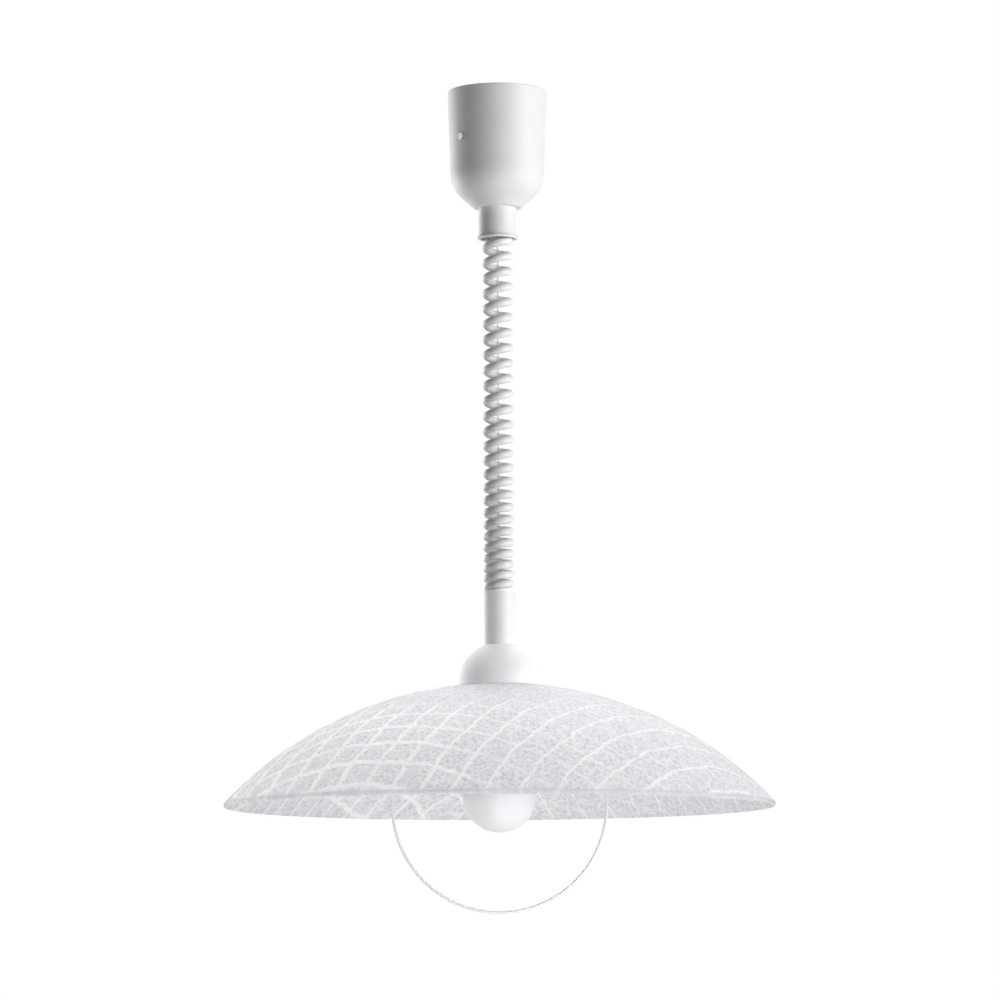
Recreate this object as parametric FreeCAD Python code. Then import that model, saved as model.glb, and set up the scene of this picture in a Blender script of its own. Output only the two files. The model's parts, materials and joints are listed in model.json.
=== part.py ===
import FreeCAD, Part
import math
import os

# A rise and fall pendant: a ceiling cup with a spring reel inside, a curly flex with a thin
# support cord down its middle, a short stem with a dome cap, and a shallow shade of slumped
# glass with a globe lamp and a wire bow to pull it down by.
# Millimetres. Z is up and zero is the ceiling. The pendant hangs on the Z axis, +X is to the
# right and +Y is away from the viewer. The bow lies in the XZ plane.

Vector = FreeCAD.Vector
X_AXIS = Vector(1, 0, 0)
Y_AXIS = Vector(0, 1, 0)
Z_AXIS = Vector(0, 0, 1)
ORIGIN = Vector(0, 0, 0)

# ---------------------------------------------------------------- driving dimensions

# clearances
running_gap = 0.15         # a drum on its axle, a cable in its hole
pin_gap = 0.1              # a bow pin in its eye
face_gap = 0.1             # between a curved face and what it rests on
thread_gap = 0.05          # between a thread and the hole it screws into
drum_end_gap = 0.4         # between the reel and each cheek of its frame
blind_gap = 1.0            # between the end of a screw and the bottom of its hole
overrun = 1.0              # how far a cutter runs past the face that it cuts

# the whole pendant
pendant_height = 606.1     # from the ceiling to the bow's lowest point, as it is left hanging

# ceiling cup
cup_top_radius = 36.5
cup_side_taper = 1.8       # how much narrower the cup is where its shoulder starts
cup_side_height = 60.0
cup_shoulder_turn = 49.0   # degrees
cup_height = 87.0
cup_wall = 2.0
cup_flat_margin = 1.07     # of the small flat at the bottom, beyond the ring that holds the sleeve

# outlet sleeve under the cup
sleeve_length = 23.2
sleeve_radius = 14.0
sleeve_bore_radius = 12.2
sleeve_neck_radius = 13.4
sleeve_lip_radius = 15.0
sleeve_lip_height = 2.4
sleeve_ring_width = 2.8
sleeve_ring_height = 4.0
sleeve_ring_notches = 4
sleeve_ring_notch_width = 3.0
sleeve_ring_notch_floor = 1.0

# mounting bracket: a strap that lies across the cup and turns down at both ends
strap_angle = 42.0         # degrees from +X
strap_width = 14.0
strap_thickness = 1.5
strap_clearance = 0.13     # between a leg's outer corners and the cup
strap_drop = 6.0           # how far the middle is let down from the ceiling
strap_land_start = 13.0
strap_leg_length = 44.0
fixing_pitch_circle = 44.0
fixing_hole_radius = 2.25
clamp_bolt_offset = 6.5
clamp_bolt_radius = 2.0
clamp_head_flats = 7.0
clamp_head_height = 2.8
clamp_bolt_tail = 1.0
lock_screw_drop = 37.5
lock_screw_radius = 1.5
lock_screw_head_radius = 2.4
lock_screw_head_height = 1.2
lock_screw_slot = 0.7
lock_screw_tip_gap = 0.3

# reel
frame_sheet = 1.2
frame_height = 54.5
frame_back = 19.0          # from the cord to the back edge of the cheeks
cheek_front = 4.0
tab_offset = 14.5          # from the cord to the face of the terminal plate
drum_axle_height = 22.0    # above the bottom plate of the frame
winding_radius = 11.0      # from the drum's axis to the middle of the cord
support_cord_radius = 0.4
winding_pitch = 1.25
winding_turns = 9.0
flange_height = 2.0        # how far a flange stands above the barrel
flange_thickness = 1.2
hub_wall = 1.4
barrel_wall = 1.3
spring_box_width = 8.0
spring_box_wall = 1.2
spring_strip = 0.35
spring_turns = 9
cover_thickness = 1.0
axle_radius = 2.5
axle_end = 2.6
clip_radius = 4.4
clip_thickness = 0.8
clip_mouth = 3.0
washer_radius = 6.0
washer_thickness = 0.8

# cord guide under the reel
guide_flange_radius = 16.0
guide_flange_thickness = 3.0
guide_spigot_radius = 11.7
guide_reach = 8.0          # how far it goes down into the sleeve
guide_cord_hole_radius = 1.2
guide_screw_offset = 8.6
guide_screw_radius = 1.25
guide_screw_head_radius = 2.3
guide_screw_head_height = 1.5
guide_screw_length = 8.0

# flex and cores
flex_radius = 2.95
core_radius = 1.2
core_spread = 1.35
core_straight_share = 0.3  # of a core's way, straight at each end
upper_core_bend = 2.4
lower_core_bend = 1.9
flex_top_offset = 7.6      # where the flex goes up through the guide
flex_top_angle = 132.0     # degrees from +X
sheath_end_height = 22.8   # above the bottom plate of the frame

# terminals in the cup
block_length = 22.0
block_depth = 9.2
block_height = 13.0
block_below_plate = 4.3
terminal_offset = 5.5
barrel_radius = 2.5
barrel_bore_radius = 1.5
barrel_end_cover = 1.0
slot_width = 0.6           # of the driver's slot in a small screw
slot_depth = 0.6
terminal_screw_radius = 1.25
terminal_screw_spacing = 5.0
block_screw_radius = 1.4
block_screw_head_radius = 2.6
block_screw_head_height = 1.4
grip_length = 18.0
grip_height = 7.0
grip_wall = 3.2
grip_height_on_plate = 11.0
grip_screw_offset = 6.3
grip_screw_radius = 1.4

# coil of the flex
coil_radius = 8.45         # to the middle of the cable
coil_turns = 25.25
coil_even_turns = 11.45    # turns of the open pitch, before the pitch closes up
coil_close_gap = 1.0       # between two turns at the bottom, where the coil is closest
coil_lead_drop = 8.0       # from the flex's straight top end to the first turn
coil_lead_angle = 60.0     # degrees round from the straight top end to the first turn
coil_tail_quarter = 90.0   # degrees of inward spiral at the bottom
coil_tail_radius = 7.2
coil_tail_draw = 1.2       # how fast the spiral draws in there, mm per quarter turn
coil_end_offset = 6.0
coil_end_angle = 62.0      # degrees round from the spiral to the straight bottom end
stem_below_coil = 5.2

# stem
stem_radius = 11.7
stem_length = 39.5
stem_mouth_radius = 9.7
stem_mouth_bevel = 1.2
stem_mouth_depth = 14.6
stem_bore_radius = 10.2
plug_thickness = 8.0
ferrule_radius = 1.9
ferrule_length = 5.5
ferrule_crimp_depth = 0.3
ferrule_crimp_length = 1.6
sheath_below_plug = 2.5
base_thickness = 6.0
nipple_radius = 5.0
nipple_bore_radius = 3.6
nipple_above_base = 0.5
nipple_below_dome = 11.5

# dome cap
dome_radius = 32.0
dome_wall = 1.6
nipple_nut_flats = 14.0
nipple_nut_height = 4.0

# lampholder
holder_cap_radius = 17.6
holder_cap_wall = 1.6
holder_neck_radius = 9.0
holder_neck_height = 6.0
holder_cap_height = 19.5
collar_radius = 19.6
collar_height = 6.0
flange_radius = 25.0
holder_flange_thickness = 2.0
skirt_length = 43.0
skirt_bore_radius = 15.2
core_disc_radius = 17.0
core_disc_thickness = 10.0
core_disc_drop = 10.5      # from the underside of the flange to the underside of the disc
core_well_radius = 6.0
core_well_depth = 2.0
collar_recess = 1.0        # how far the collar's wide bore goes down past the top of the disc
terminal_length = 8.0
terminal_width = 5.0
terminal_height = 6.0
terminal_place = 8.5
holder_screw_radius = 1.3
holder_screw_length = 3.0
holder_screw_head_radius = 2.1
holder_screw_head_height = 1.2
screw_shell_radius = 14.0
screw_shell_wall = 0.5
screw_shell_length = 23.0
contact_radius = 5.0
contact_thickness = 0.6
contact_dish = 0.5
contact_clearance = 1.5    # between the contact and the hole in the screw shell's end
gasket_thickness = 1.2
gasket_clearance = 1.0     # between a gasket and the collar that it goes round
lower_gasket_width = 6.4
shade_ring_radius = 28.0
shade_ring_height = 6.0
shade_ring_flutes = 24
shade_ring_flute_radius = 1.1
shade_ring_flute_offset = 0.4
shade_ring_flute_stop = 1.5

# glass shade: a cap of a sphere with a hole at the top and a rounded rim
shade_radius = 200.0
shade_height = 87.0
glass_thickness = 4.0
glass_hole_radius = 21.0

# bow and its bracket
bow_radius = 77.9          # to the middle of the wire
bow_leg = 63.0
bow_wire_radius = 1.1
bow_bend_radius = 2.4
bow_pin_length = 5.0
pivot_below_glass = 10.0
bracket_sheet = 1.5
bracket_arm_width = 12.0
ear_inset = 3.6            # from the middle of the bow's leg to the outer face of the ear
ear_drop = 4.0

# lamp
bulb_radius = 27.0
bulb_length = 97.0
bulb_neck_radius = 13.6
bulb_neck_length = 9.0
bulb_shoulder_turn = 48.0  # degrees above the widest place where the globe gives way to the neck
cap_radius = 13.0
cap_length = 23.5
cap_ridges = 5
cap_ridge_pitch = 3.6
cap_ridge_height = 0.5
cap_wall = 0.6
cap_skirt_length = 3.5
cap_slant = 1.5            # height of the cone at the cap's end
cap_mouth_radius = 6.5
cap_mouth_edge = 1.0
bulb_wall = 1.0
insulator_height = 2.5
insulator_radius = 6.0
insulator_top_radius = 4.5
tip_radius = 4.0
tip_top_radius = 3.0
tip_height = 1.2
tip_gap = 0.2

# ---------------------------------------------------------------- worked out from these

cup_shoulder_start_radius = cup_top_radius - cup_side_taper
cup_flat_radius = sleeve_neck_radius + sleeve_ring_width + cup_flat_margin
cup_bottom_z = -cup_height
sleeve_end_z = cup_bottom_z - sleeve_length


def shoulder_bend():
    """The radius with which the cup's side bends into the cone that ends at the small flat."""
    turn = math.radians(cup_shoulder_turn)
    drop = cup_height - cup_side_height
    narrowing = cup_flat_radius - cup_shoulder_start_radius + drop * math.tan(turn)
    return narrowing / (1 / math.cos(turn) - 1)


def cup_side_radius(drop):
    """Radius of the cup's outer side, that far below the ceiling."""
    return cup_top_radius - cup_side_taper * drop / cup_side_height


cup_shoulder_radius = shoulder_bend()
strap_corner_radius = cup_side_radius(strap_leg_length) - cup_wall - strap_clearance
strap_reach = math.sqrt(strap_corner_radius ** 2 - strap_width ** 2 / 4)   # to a leg's outer face

plate_top_z = -strap_drop - strap_thickness
plate_low_z = plate_top_z - frame_height
axle_z = plate_low_z + drum_axle_height
axle_y = -winding_radius
barrel_surface_radius = winding_radius - support_cord_radius - face_gap
reel_flange_radius = barrel_surface_radius + flange_height + 2 * support_cord_radius
channel_start = -winding_pitch / 2
channel_end = channel_start + winding_pitch * (winding_turns + 1)
spring_box_end = channel_start - flange_thickness - spring_box_width
cover_end = spring_box_end - cover_thickness
cheek_left = cover_end - drum_end_gap - frame_sheet
cheek_right = channel_end + flange_thickness + 2 * drum_end_gap + washer_thickness + frame_sheet

guide_low_z = cup_bottom_z - guide_reach
sheath_top_z = plate_low_z + sheath_end_height
flex_hole_radius = flex_radius + running_gap
block_top_z = plate_top_z - frame_sheet - block_below_plate
block_low_z = block_top_z - block_height
block_middle_z = (block_top_z + block_low_z) / 2
block_front_y = tab_offset - block_depth
terminal_y = tab_offset - block_depth / 2
terminal_screw_heights = (block_middle_z - terminal_screw_spacing / 2,
                          block_middle_z + terminal_screw_spacing / 2)
grip_middle_z = plate_low_z + grip_height_on_plate
grip_front_y = flex_top_offset - flex_radius - grip_wall / 2

flex_straight_end = 2 * flex_radius
coil_top_z = guide_low_z - flex_straight_end - coil_lead_drop
coil_top_angle = flex_top_angle - coil_lead_angle
flex_low_angle = coil_top_angle - 360 * coil_turns - coil_tail_quarter - coil_end_angle

glass_outer_radius = (shade_radius ** 2 + shade_height ** 2) / (2 * shade_height)
glass_inner_radius = glass_outer_radius - glass_thickness
dome_inner_radius = dome_radius - dome_wall
dome_drop = math.sqrt(dome_radius ** 2 - stem_radius ** 2)


def rise(sphere_radius, radius):
    """Height of a sphere's surface above its centre, at that distance from its axis."""
    return math.sqrt(sphere_radius ** 2 - radius ** 2)


# the coil fills what is left of the height between the sleeve and the stem
glass_centre_drop = dome_drop + face_gap + rise(glass_outer_radius, dome_inner_radius)
pivot_rise = rise(glass_inner_radius, bow_radius) - pivot_below_glass
bow_drop = bow_leg + bow_radius + bow_wire_radius
stem_top_z = -pendant_height + stem_length + glass_centre_drop - pivot_rise + bow_drop
coil_low_z = stem_top_z + stem_below_coil
coil_close_pitch = 2 * flex_radius + coil_close_gap
coil_closing_turns = coil_turns - coil_even_turns
coil_open_pitch = ((coil_top_z - coil_low_z - coil_close_pitch * coil_closing_turns / 2)
                   / (coil_even_turns + coil_closing_turns / 2))
coil_closing = (coil_open_pitch - coil_close_pitch) / coil_closing_turns


def coil_height(turn):
    """Z of the coil after that many turns from its top."""
    closed = max(0.0, turn - coil_even_turns)
    return coil_top_z - coil_open_pitch * turn + coil_closing * closed ** 2 / 2


def coil_pitch(turn):
    """How far the coil goes down per turn there."""
    return coil_open_pitch - coil_closing * max(0.0, turn - coil_even_turns)


plug_top_z = stem_top_z - stem_mouth_depth
plug_low_z = plug_top_z - plug_thickness
stem_low_z = stem_top_z - stem_length
base_top_z = stem_low_z + base_thickness

dome_low_z = stem_low_z - dome_drop
glass_centre_z = stem_low_z - glass_centre_drop
gasket_blank = 3 * gasket_thickness
flange_low_z = glass_centre_z + rise(glass_outer_radius, glass_hole_radius) + gasket_thickness
flange_top_z = flange_low_z + holder_flange_thickness
skirt_low_z = flange_low_z - skirt_length
core_low_z = flange_low_z - core_disc_drop
core_top_z = core_low_z + core_disc_thickness
lower_gasket_z = glass_centre_z + rise(glass_inner_radius, glass_hole_radius) - 2 * gasket_thickness
bracket_low_z = lower_gasket_z - bracket_sheet
nipple_low_z = stem_low_z - dome_wall - nipple_below_dome
nut_low_z = stem_low_z - dome_wall - nipple_nut_height
holder_top_z = nut_low_z - face_gap
collar_bore_radius = holder_cap_radius + 4 * face_gap

pivot_z = glass_centre_z + pivot_rise
contact_low_z = core_low_z - contact_thickness - contact_dish
bulb_top_z = contact_low_z - tip_gap
bulb_centre_z = bulb_top_z - bulb_length + bulb_radius


# ---------------------------------------------------------------- helpers

def at(radius, angle, z):
    """The point at that distance and direction, in degrees, from the Z axis."""
    turn = math.radians(angle)
    return Vector(radius * math.cos(turn), radius * math.sin(turn), z)


def outline(*points):
    """A closed face in the XZ plane. A point is (x, z), or ((x, z), (x, z)) for an arc through
    the first to the second."""
    start = Vector(points[0][0], 0, points[0][1])
    here = start
    edges = []
    for point in points[1:] + (points[0],):
        if isinstance(point[0], tuple):
            middle = Vector(point[0][0], 0, point[0][1])
            there = Vector(point[1][0], 0, point[1][1])
            edges.append(Part.Arc(here, middle, there).toShape())
        else:
            there = Vector(point[0], 0, point[1])
            if (there - here).Length > 1e-6:
                edges.append(Part.LineSegment(here, there).toShape())
        here = there
    return Part.Face(Part.Wire(edges))


def spin(*points):
    """The solid that an outline makes when it is turned once round the Z axis."""
    return outline(*points).revolve(ORIGIN, Z_AXIS, 360)


def tube(outer, inner, low, high):
    """A round tube on the Z axis."""
    return spin((inner, low), (outer, low), (outer, high), (inner, high))


def rod(radius, start, end):
    """A round rod from one point to another."""
    way = end - start
    return Part.makeCylinder(radius, way.Length, start, way)


def drill(radius, start, end):
    """What a drill takes away when it runs through a wall between two points."""
    past = (end - start).normalize() * overrun
    return rod(radius, start - past, end + past)


def sink(radius, mouth, bottom):
    """What a drill takes away when it stops at the bottom of a blind hole."""
    past = (bottom - mouth).normalize() * overrun
    return rod(radius, mouth - past, bottom)


def box(low, high):
    """A box between two corners."""
    size = [b - a for a, b in zip(low, high)]
    return Part.makeBox(size[0], size[1], size[2], Vector(*low))


def hexagon(flats, low, high, centre=(0, 0)):
    """An upright six-sided bar."""
    corner = flats / math.sqrt(3)
    ring = [at(corner, 60 * i, low) + Vector(centre[0], centre[1], 0) for i in range(7)]
    return Part.Face(Part.makePolygon(ring)).extrude(Vector(0, 0, high - low))


def driver_slot(radius, x, y, z):
    """The slot across a small screw whose head's face looks along -Y at that place."""
    reach = radius + overrun
    return box((x - reach, y - overrun, z - slot_width / 2), (x + reach, y + slot_depth, z + slot_width / 2))


def in_cup(shape):
    """Turns a piece from the strap's own X axis to its place in the cup."""
    shape.rotate(ORIGIN, Z_AXIS, strap_angle)
    return shape


def on_axle(shape):
    """Lays a piece that was made round the Z axis on the reel's axle."""
    shape.rotate(ORIGIN, Y_AXIS, 90)
    shape.translate(Vector(0, axle_y, axle_z))
    return in_cup(shape)


def bent_arc(start, corner, end):
    """The arc that is tangent to both sides of a corner whose sides are equally long, and its
    radius."""
    chord = (end - start).Length
    weight = chord / (2 * (corner - start).Length)
    middle = (start + corner * (2 * weight) + end) * (1 / (2 + 2 * weight))
    if weight > 1 - 1e-9:
        return Part.LineSegment(start, end).toShape(), 1e6
    radius = chord / (2 * math.sqrt(1 - weight ** 2))
    return Part.Arc(start, middle, end).toShape(), radius


def biarc(here, way, there, way_there):
    """Two arcs that leave one point in one direction and reach another in another."""
    across = there - here
    both = way + way_there
    bend = 2 * (1 - way.dot(way_there))
    lean = across.dot(both)
    if bend < 1e-9:
        reach = across.dot(across) / (2 * lean)
    else:
        reach = (math.sqrt(lean ** 2 + bend * across.dot(across)) - lean) / bend
    first = here + way * reach
    second = there - way_there * reach
    meeting = (first + second) * 0.5
    return [bent_arc(here, first, meeting), bent_arc(meeting, second, there)]


def cable(name, stations, radius, neighbours):
    """An unbroken round cable along biarcs through stations, each a point and a direction.
    It prints the tightest bend, the least gap to itself and how its volume compares."""
    arcs = []
    for (here, way), (there, way_there) in zip(stations, stations[1:]):
        straight = (there - here).cross(way).Length < 1e-7 and way.dot(way_there) > 1 - 1e-9
        if straight:
            arcs.append((Part.LineSegment(here, there).toShape(), 1e6))
        else:
            arcs += biarc(here, way, there, way_there)
    edges = [edge for edge, bend in arcs]
    tightest = min(bend for edge, bend in arcs)
    start, way = stations[0]
    section = Part.Wire([Part.Circle(start, way, radius).toShape()])
    pipe = Part.BRepOffsetAPI.MakePipeShell(Part.Wire(edges))
    pipe.add(section)
    pipe.build()
    pipe.makeSolid()
    solid = pipe.shape()
    length = sum(edge.Length for edge in edges)
    share = solid.Volume / (math.pi * radius ** 2 * length)
    print(f"{name}: length {length:.1f}, tightest bend {tightest:.2f}, volume share {share:.4f}")
    if neighbours:
        step = radius / 2
        line = []
        for edge in edges:
            line += edge.discretize(max(2, int(edge.Length / step)))[:-1]
        apart = int(neighbours / step)
        reach = 3 * apart
        least = 1e9
        for i, point in enumerate(line):
            for other in line[i + apart:i + reach]:
                least = min(least, point.distanceToPoint(other))
        print(f"{name}: least gap to itself {least - 2 * radius:.2f}")
    return solid


def bent_rod(points, bend, radius):
    """A round rod along straight runs with an arc of the same radius at each corner."""
    edges = []
    here = points[0]
    for before, corner, after in zip(points, points[1:], points[2:]):
        way_in = (corner - before).normalize()
        way_out = (after - corner).normalize()
        half = way_in.getAngle(way_out) / 2
        cut = bend * math.tan(half)
        enter = corner - way_in * cut
        leave = corner + way_out * cut
        edges.append(Part.LineSegment(here, enter).toShape())
        edges.append(bent_arc(enter, corner, leave)[0])
        here = leave
    edges.append(Part.LineSegment(here, points[-1]).toShape())
    way = (points[1] - points[0]).normalize()
    section = Part.Wire([Part.Circle(points[0], way, radius).toShape()])
    pipe = Part.BRepOffsetAPI.MakePipeShell(Part.Wire(edges))
    pipe.add(section)
    pipe.build()
    pipe.makeSolid()
    return pipe.shape()


def tidy(shape):
    """Joins faces that lie on one surface, and keeps a single solid as a plain solid."""
    clean = shape.removeSplitter()
    if len(clean.Solids) == 1:
        return clean.Solids[0]
    return clean


def group(shapes):
    return Part.makeCompound(shapes)


# ---------------------------------------------------------------- mounting bracket

def mounting_bracket():
    half = strap_width / 2
    middle_top = -strap_drop
    middle_low = middle_top - strap_thickness
    leg_low = -strap_leg_length
    inner = strap_reach - strap_thickness
    riser = strap_land_start + strap_thickness
    side = outline(
        (0, middle_low), (riser, middle_low), (riser, -strap_thickness),
        (inner, -strap_thickness), (inner, leg_low), (strap_reach, leg_low), (strap_reach, 0),
        (strap_land_start, 0), (strap_land_start, middle_top), (0, middle_top))
    side.translate(Vector(0, -half, 0))
    right = side.extrude(Vector(0, strap_width, 0))
    left = right.mirror(ORIGIN, X_AXIS)
    strap = right.fuse(left)
    for sign in (-1, 1):
        screw = sign * fixing_pitch_circle / 2
        strap = strap.cut(drill(fixing_hole_radius, Vector(screw, 0, -strap_thickness), Vector(screw, 0, 0)))
        bolt = sign * clamp_bolt_offset
        hole = drill(clamp_bolt_radius + thread_gap, Vector(bolt, 0, middle_low), Vector(bolt, 0, middle_top))
        strap = strap.cut(hole)
    return in_cup(tidy(strap))


def clamp_bolts():
    tail = plate_top_z - frame_sheet - clamp_head_height - clamp_bolt_tail
    bolts = []
    for sign in (-1, 1):
        x = sign * clamp_bolt_offset
        head = hexagon(clamp_head_flats, -strap_drop, -strap_drop + clamp_head_height, (x, 0))
        shank = rod(clamp_bolt_radius, Vector(x, 0, tail), Vector(x, 0, -strap_drop))
        bolts.append(in_cup(tidy(head.fuse(shank))))
    return group(bolts)


def clamp_nuts():
    high = plate_top_z - frame_sheet
    nuts = []
    for sign in (-1, 1):
        x = sign * clamp_bolt_offset
        low = high - clamp_head_height
        nut = hexagon(clamp_head_flats, low, high, (x, 0))
        hole = drill(clamp_bolt_radius + thread_gap, Vector(x, 0, low), Vector(x, 0, high))
        nuts.append(in_cup(nut.cut(hole)))
    return group(nuts)


def lock_screws():
    wall_radius = cup_side_radius(lock_screw_drop)
    z = -lock_screw_drop
    screws = []
    for sign in (-1, 1):
        head_start = wall_radius + face_gap
        head_end = wall_radius + lock_screw_head_height
        shank = rod(lock_screw_radius, Vector(strap_reach + lock_screw_tip_gap, 0, z),
                    Vector(head_start, 0, z))
        head = rod(lock_screw_head_radius, Vector(head_start, 0, z), Vector(head_end, 0, z))
        slot = box((head_end - lock_screw_slot, -lock_screw_head_radius, z - lock_screw_slot / 2),
                   (head_end + overrun, lock_screw_head_radius, z + lock_screw_slot / 2))
        screw = tidy(shank.fuse(head).cut(slot))
        if sign < 0:
            screw.rotate(ORIGIN, Z_AXIS, 180)
        screws.append(in_cup(screw))
    return group(screws)


# ---------------------------------------------------------------- reel frame and what it holds

def reel_frame():
    back = -frame_back
    front = tab_offset + frame_sheet
    low = plate_low_z
    high = plate_top_z
    sheet = frame_sheet
    frame = box((cheek_left, back, high - sheet), (cheek_right, front, high))
    frame = frame.fuse(box((cheek_left, back, low), (cheek_right, front, low + sheet)))
    frame = frame.fuse(box((cheek_left, back, low), (cheek_left + sheet, cheek_front, high)))
    frame = frame.fuse(box((cheek_right - sheet, back, low), (cheek_right, cheek_front, high)))
    frame = frame.fuse(box((cheek_left, tab_offset, low), (cheek_right, front, high)))
    cuts = [drill(axle_radius + thread_gap, Vector(cheek_left, axle_y, axle_z),
                  Vector(cheek_right, axle_y, axle_z)),
            drill(guide_cord_hole_radius + sheet, Vector(0, 0, low), Vector(0, 0, low + sheet)),
            drill(flex_hole_radius, Vector(0, flex_top_offset, low), Vector(0, flex_top_offset, low + sheet)),
            drill(block_screw_radius + thread_gap, Vector(0, tab_offset, block_middle_z),
                  Vector(0, front, block_middle_z))]
    for sign in (-1, 1):
        x = sign * clamp_bolt_offset
        cuts.append(drill(clamp_bolt_radius + thread_gap, Vector(x, 0, high - sheet), Vector(x, 0, high)))
        x = sign * guide_screw_offset
        cuts.append(drill(guide_screw_radius + thread_gap, Vector(x, 0, low), Vector(x, 0, low + sheet)))
        x = sign * grip_screw_offset
        cuts.append(drill(grip_screw_radius + thread_gap, Vector(x, tab_offset, grip_middle_z),
                          Vector(x, front, grip_middle_z)))
    return in_cup(tidy(frame.cut(group(cuts))))


def cord_guide():
    top = plate_low_z
    flange_low = top - guide_flange_thickness
    guide = spin((0, guide_low_z), (guide_spigot_radius, guide_low_z), (guide_spigot_radius, flange_low),
                 (guide_flange_radius, flange_low), (guide_flange_radius, top), (0, top))
    guide = guide.cut(drill(guide_cord_hole_radius, Vector(0, 0, guide_low_z), Vector(0, 0, top)))
    guide = guide.cut(drill(flex_hole_radius, Vector(0, flex_top_offset, guide_low_z),
                            Vector(0, flex_top_offset, top)))
    for sign in (-1, 1):
        x = sign * guide_screw_offset
        bottom = top - guide_screw_length - blind_gap
        guide = guide.cut(sink(guide_screw_radius + thread_gap, Vector(x, 0, top), Vector(x, 0, bottom)))
    return in_cup(tidy(guide))


def guide_screws():
    seat = plate_low_z + frame_sheet
    screws = []
    for sign in (-1, 1):
        x = sign * guide_screw_offset
        shank = rod(guide_screw_radius, Vector(x, 0, plate_low_z - guide_screw_length), Vector(x, 0, seat))
        head = rod(guide_screw_head_radius, Vector(x, 0, seat), Vector(x, 0, seat + guide_screw_head_height))
        screws.append(in_cup(tidy(shank.fuse(head))))
    return group(screws)


def reel_axle():
    start = cheek_left - axle_end
    end = cheek_right + axle_end
    return on_axle(rod(axle_radius, Vector(0, 0, start), Vector(0, 0, end)))


def axle_clips():
    clips = []
    for low in (cheek_left - face_gap - clip_thickness, cheek_right + face_gap):
        ring = tube(clip_radius, axle_radius + thread_gap, low, low + clip_thickness)
        mouth = box((0, -clip_mouth / 2, low - overrun),
                    (clip_radius + overrun, clip_mouth / 2, low + clip_thickness + overrun))
        clips.append(on_axle(ring.cut(mouth)))
    return group(clips)


def friction_washer():
    low = channel_end + flange_thickness + drum_end_gap
    return on_axle(tube(washer_radius, axle_radius + running_gap, low, low + washer_thickness))


# ---------------------------------------------------------------- reel

def reel_drum():
    bore = axle_radius + running_gap
    hub = bore + hub_wall
    inside = barrel_surface_radius - barrel_wall
    rim = reel_flange_radius
    left = channel_start - flange_thickness
    right = channel_end + flange_thickness
    return on_axle(spin(
        (bore, left), (rim - spring_box_wall, left), (rim - spring_box_wall, spring_box_end),
        (rim, spring_box_end), (rim, channel_start), (barrel_surface_radius, channel_start),
        (barrel_surface_radius, channel_end), (rim, channel_end), (rim, right), (inside, right),
        (inside, channel_start), (hub, channel_start), (hub, right), (bore, right)))


def spring_cover():
    lip_outer = reel_flange_radius - spring_box_wall - face_gap
    lip_inner = lip_outer - cover_thickness
    bore = axle_radius + 2 * running_gap
    return on_axle(spin(
        (bore, cover_end), (reel_flange_radius, cover_end), (reel_flange_radius, spring_box_end),
        (lip_outer, spring_box_end), (lip_outer, spring_box_end + cover_thickness),
        (lip_inner, spring_box_end + cover_thickness), (lip_inner, spring_box_end),
        (bore, spring_box_end)))


def power_spring():
    """A flat strip wound in half circles, each a little larger than the one before."""
    outside = reel_flange_radius - spring_box_wall - cover_thickness - 3 * face_gap
    inside = axle_radius + running_gap + spring_strip
    halves = 2 * spring_turns
    step = (outside - inside) / halves
    low = spring_box_end + cover_thickness + face_gap
    high = channel_start - flange_thickness - face_gap

    def spiral(start):
        edges = []
        x = -start
        for i in range(halves):
            across = 2 * start + (2 * i + 1) * step
            sign = 1 if i % 2 == 0 else -1
            there = x + sign * across
            centre = (x + there) / 2
            side = Vector(centre, sign * across / 2, low)
            edges.append(Part.Arc(Vector(x, 0, low), side, Vector(there, 0, low)).toShape())
            x = there
        return edges, x

    inner, inner_end = spiral(inside)
    outer, outer_end = spiral(inside + spring_strip)
    start_cap = Part.LineSegment(Vector(-inside, 0, low), Vector(-inside - spring_strip, 0, low)).toShape()
    end_cap = Part.LineSegment(Vector(inner_end, 0, low), Vector(outer_end, 0, low)).toShape()
    loop = Part.Wire(inner + [end_cap] + outer[::-1] + [start_cap])
    return on_axle(Part.Face(loop).extrude(Vector(0, 0, high - low)))


def cord_winding():
    """The support cord wound on the reel, which it leaves straight down at the drum's front."""
    start = Vector(0, winding_radius, 0)
    straight = 2 * support_cord_radius
    stations = [(start + Vector(straight, 0, 0), Vector(-1, 0, 0)), (start, Vector(-1, 0, 0))]
    for half in range(1, int(2 * winding_turns) + 1):
        turn = math.radians(90 + 180 * half)
        climb = winding_pitch / (2 * math.pi)
        place = Vector(winding_radius * math.cos(turn), winding_radius * math.sin(turn),
                       winding_pitch * half / 2)
        way = Vector(-winding_radius * math.sin(turn), winding_radius * math.cos(turn), climb)
        stations.append((place, way.normalize()))
    return on_axle(cable("cord_winding", stations, support_cord_radius, math.pi * winding_radius))


# ---------------------------------------------------------------- terminals

def terminal_block():
    front = block_front_y
    half = block_length / 2
    body = box((-half, front, block_low_z), (half, tab_offset, block_top_z))
    for sign in (-1, 1):
        x = sign * terminal_offset
        body = body.cut(drill(barrel_radius + thread_gap, Vector(x, terminal_y, block_low_z),
                              Vector(x, terminal_y, block_top_z)))
        for z in terminal_screw_heights:
            hole = sink(terminal_screw_radius + 2 * face_gap, Vector(x, front, z), Vector(x, terminal_y, z))
            body = body.cut(hole)
    body = body.cut(drill(block_screw_radius + thread_gap, Vector(0, front, block_middle_z),
                          Vector(0, tab_offset, block_middle_z)))
    return in_cup(tidy(body))


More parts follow.
